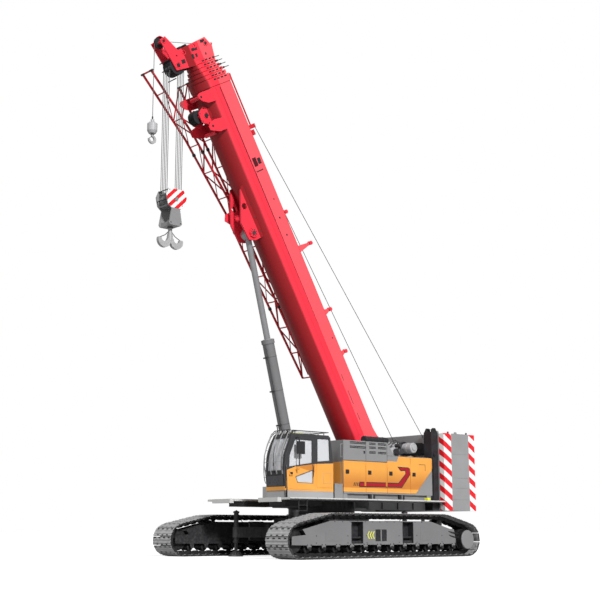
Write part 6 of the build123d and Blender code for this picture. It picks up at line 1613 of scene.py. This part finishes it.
class DressHooks(bpy.types.Operator):
    """Striped cheeks, guards, bolts, latches and rings of the hook block and the ball"""
    bl_idname = "crane.dress_hooks"
    bl_label = "Hooks"

    def execute(self, context):
        main = on_boom(*MAIN_PIN)
        y, z = main.y, main.z - BLOCK_DROP
        red = []
        white = []
        for sign in (-1, 1):
            face = sign * 0.31
            outline = [(y - 0.40, z + 0.10), (y - 0.30, z + 0.34), (y + 0.30, z + 0.34), (y + 0.43, z + 0.10),
                       (y + 0.33, z - 0.20), (y + 0.20, z - 0.31), (y - 0.20, z - 0.31), (y - 0.33, z - 0.20)]
            white.append(sticker(outline, face, 0.004))
            for step in (-0.44, -0.10, 0.24):
                stripe = sticker([(y + step - 0.34, z - 0.34), (y + step - 0.17, z - 0.34),
                                  (y + step + 0.51, z + 0.34), (y + step + 0.34, z + 0.34)], face, 0.006)
                red.append(self.inside(stripe, outline))
        done(white, "hook_block_cheek_white", "main_tackle", "band white")
        done(outward_faces(joined(red)), "hook_block_cheek_red", "main_tackle", "band red")
        dark = []
        for sign in (-1, 1):
            dark.append(bolts(ring_spots((sign * 0.335, y, z), "x", 0.045, 4), (sign, 0, 0), 0.010))
            spots = [(sign * 0.314, y + dy, z + dz) for dy, dz in CHEEK_BOLTS]
            dark.append(bolts(spots, (sign, 0, 0), 0.014))
        for dy, dz in ((-0.30, 0.30), (0.30, 0.30), (-0.36, -0.05), (0.36, -0.05)):
            dark.append(axle(-0.27, 0.27, (y + dy, z + dz), 0.016, 12))
        rims = [ring((slot + 0.027, y, z), (1, 0, 0), 0.30, 0.006, 40, 6) for slot in (-0.18, -0.09, 0, 0.09, 0.18)]
        done(dark + rims, "hook_block_guards", "main_tackle", "black fittings", soft=35)
        floor = z - HOOK_DROP
        latch = [rod((0, y, floor - 0.045), (0, y, floor - 0.01), 0.10, 32, 0.006)]
        for sign in (-1, 1):
            latch.append(side_tube(0.0, [(y + sign * 0.06, floor - 0.16), (y + sign * 0.20, floor - 0.30),
                                         (y + sign * 0.40, floor - 0.40)], 0.014))
        done(latch, "main_hook_latches", "main_hook", "dark fittings", soft=35)
        nose = on_boom(*NOSE_PIN)
        aux = nose.y - 0.2 - 0.0113 + 0.03
        top = nose.z - BALL_DROP
        ball = [bolts(ring_spots((0, aux, top - 0.085), "z", 0.085, 6), (0, 0, 1), 0.010),
                rod((0, aux, top - 0.02), (0, aux, top + 0.11), 0.026, 16, 0.005)]
        done(ball, "ball_bolts", "aux_tackle", "black fittings", soft=35)
        bottom = top - BALL_HEIGHT
        claw = [side_tube(0, [(aux + 0.02, bottom - 0.10), (aux - 0.05, bottom - 0.14), (aux - 0.105, bottom - 0.17)],
                          0.009), rod((0, aux, bottom - 0.05), (0, aux, bottom - 0.02), 0.06, 24, 0.006)]
        done(claw, "ball_hook_latch", "ball_hook", "dark fittings", soft=35)
        return {"FINISHED"}

    def inside(self, obj, outline):
        """Cut a flat piece down to a convex (y, z) outline."""
        only(obj)
        bpy.ops.object.mode_set(mode="EDIT")
        middle = Vector((sum(y for y, _ in outline), sum(z for _, z in outline))) / len(outline)
        for first, second in zip(outline, outline[1:] + outline[:1]):
            along = Vector(second) - Vector(first)
            normal = Vector((along.y, -along.x)).normalized()
            if normal.dot(middle - Vector(first)) > 0:
                normal = -normal
            bpy.ops.mesh.select_all(action="SELECT")
            bpy.ops.mesh.bisect(plane_co=(0, *first), plane_no=(0, *normal), use_fill=True, clear_outer=True)
        bpy.ops.object.mode_set(mode="OBJECT")
        return obj


class SetStage(bpy.types.Operator):
    """Pale floor, even light, sun and camera"""
    bl_idname = "crane.set_stage"
    bl_label = "Stage"

    def execute(self, context):
        studio = context.scene.crane_studio
        deselect()
        bpy.ops.mesh.primitive_plane_add(size=600, location=(0, 0, -0.001))
        floor = bpy.context.object
        floor.name = "floor"
        material = bpy.data.materials.new("floor")
        material.use_nodes = True
        tree = material.node_tree
        shader = tree.nodes["Principled BSDF"]
        shader.inputs["Base Color"].default_value = (0.45, 0.45, 0.45, 1)
        shader.inputs["Roughness"].default_value = 0.9
        shader.inputs["Emission Color"].default_value = (1, 1, 1, 1)
        seen = linked(tree, "LightPath").outputs["Is Camera Ray"]
        lift = linked(tree, "Math", ((0, seen), (1, studio.floor)), operation="MULTIPLY")
        tree.links.new(lift.outputs[0], shader.inputs["Emission Strength"])
        floor.data.materials.append(material)
        world = bpy.data.worlds.new("studio")
        world.use_nodes = True
        tree = world.node_tree
        backdrop = tree.nodes["Background"]
        backdrop.inputs["Color"].default_value = (1, 1, 1, 1)
        seen = linked(tree, "LightPath").outputs["Is Camera Ray"]
        white = linked(tree, "Math", ((0, seen), (1, 1 - studio.sky), (2, studio.sky)), operation="MULTIPLY_ADD")
        tree.links.new(white.outputs[0], backdrop.inputs["Strength"])
        context.scene.world = world
        context.scene.view_settings.view_transform = "Standard"
        for name, place, share, angle in LIGHTS:
            light = bpy.data.lights.new(name, "SUN")
            light.energy = studio.key * share
            light.angle = math.radians(angle)
            lamp = bpy.data.objects.new(name, light)
            lamp.rotation_euler = Vector(place).to_track_quat("Z", "Y").to_euler()
            bpy.context.collection.objects.link(lamp)
        camera = bpy.data.cameras.new("camera")
        camera.lens = studio.lens
        camera.sensor_width = 36
        camera.clip_end = 1000
        eye = bpy.data.objects.new("camera", camera)
        eye.location = CAMERA_SPOT
        eye.rotation_euler = (math.pi / 2 + studio.pitch, 0, studio.azimuth)
        bpy.context.collection.objects.link(eye)
        context.scene.camera = eye
        return {"FINISHED"}


STEPS = (SetStage, MixPaints, PaintSolids, MakeTracks, DressUndercarriage, DressDeck, DressHouses, DressCab,
         DressWinches, DressCounterweight, DressBoom, RunRopes, DressHooks)
GROUPS_OF_VALUES = (("crane_paint", CranePaint), ("crane_sizes", CraneSizes), ("crane_studio", CraneStudio))


class CranePanel(bpy.types.Panel):
    """Sizes, colours and steps of the crane"""
    bl_idname = "VIEW3D_PT_crane"
    bl_label = "Crawler crane"
    bl_space_type = "VIEW_3D"
    bl_region_type = "UI"
    bl_category = "Crane"

    def draw(self, context):
        for name, group in GROUPS_OF_VALUES:
            column = self.layout.column()
            for key in group.__annotations__:
                column.prop(getattr(context.scene, name), key)
        for step in STEPS:
            self.layout.operator(step.bl_idname)


def register():
    for name, group in GROUPS_OF_VALUES:
        bpy.utils.register_class(group)
        setattr(bpy.types.Scene, name, bpy.props.PointerProperty(type=group))
    for step in (*STEPS, CranePanel):
        bpy.utils.register_class(step)


def unregister():
    for step in (CranePanel, *reversed(STEPS)):
        bpy.utils.unregister_class(step)
    for name, group in reversed(GROUPS_OF_VALUES):
        delattr(bpy.types.Scene, name)
        bpy.utils.unregister_class(group)


def main():
    """Build the crane step by step."""
    register()
    for step in STEPS:
        area, name = step.bl_idname.split(".")
        getattr(getattr(bpy.ops, area), name)()
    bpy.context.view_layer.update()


if __name__ == "__main__":
    main()
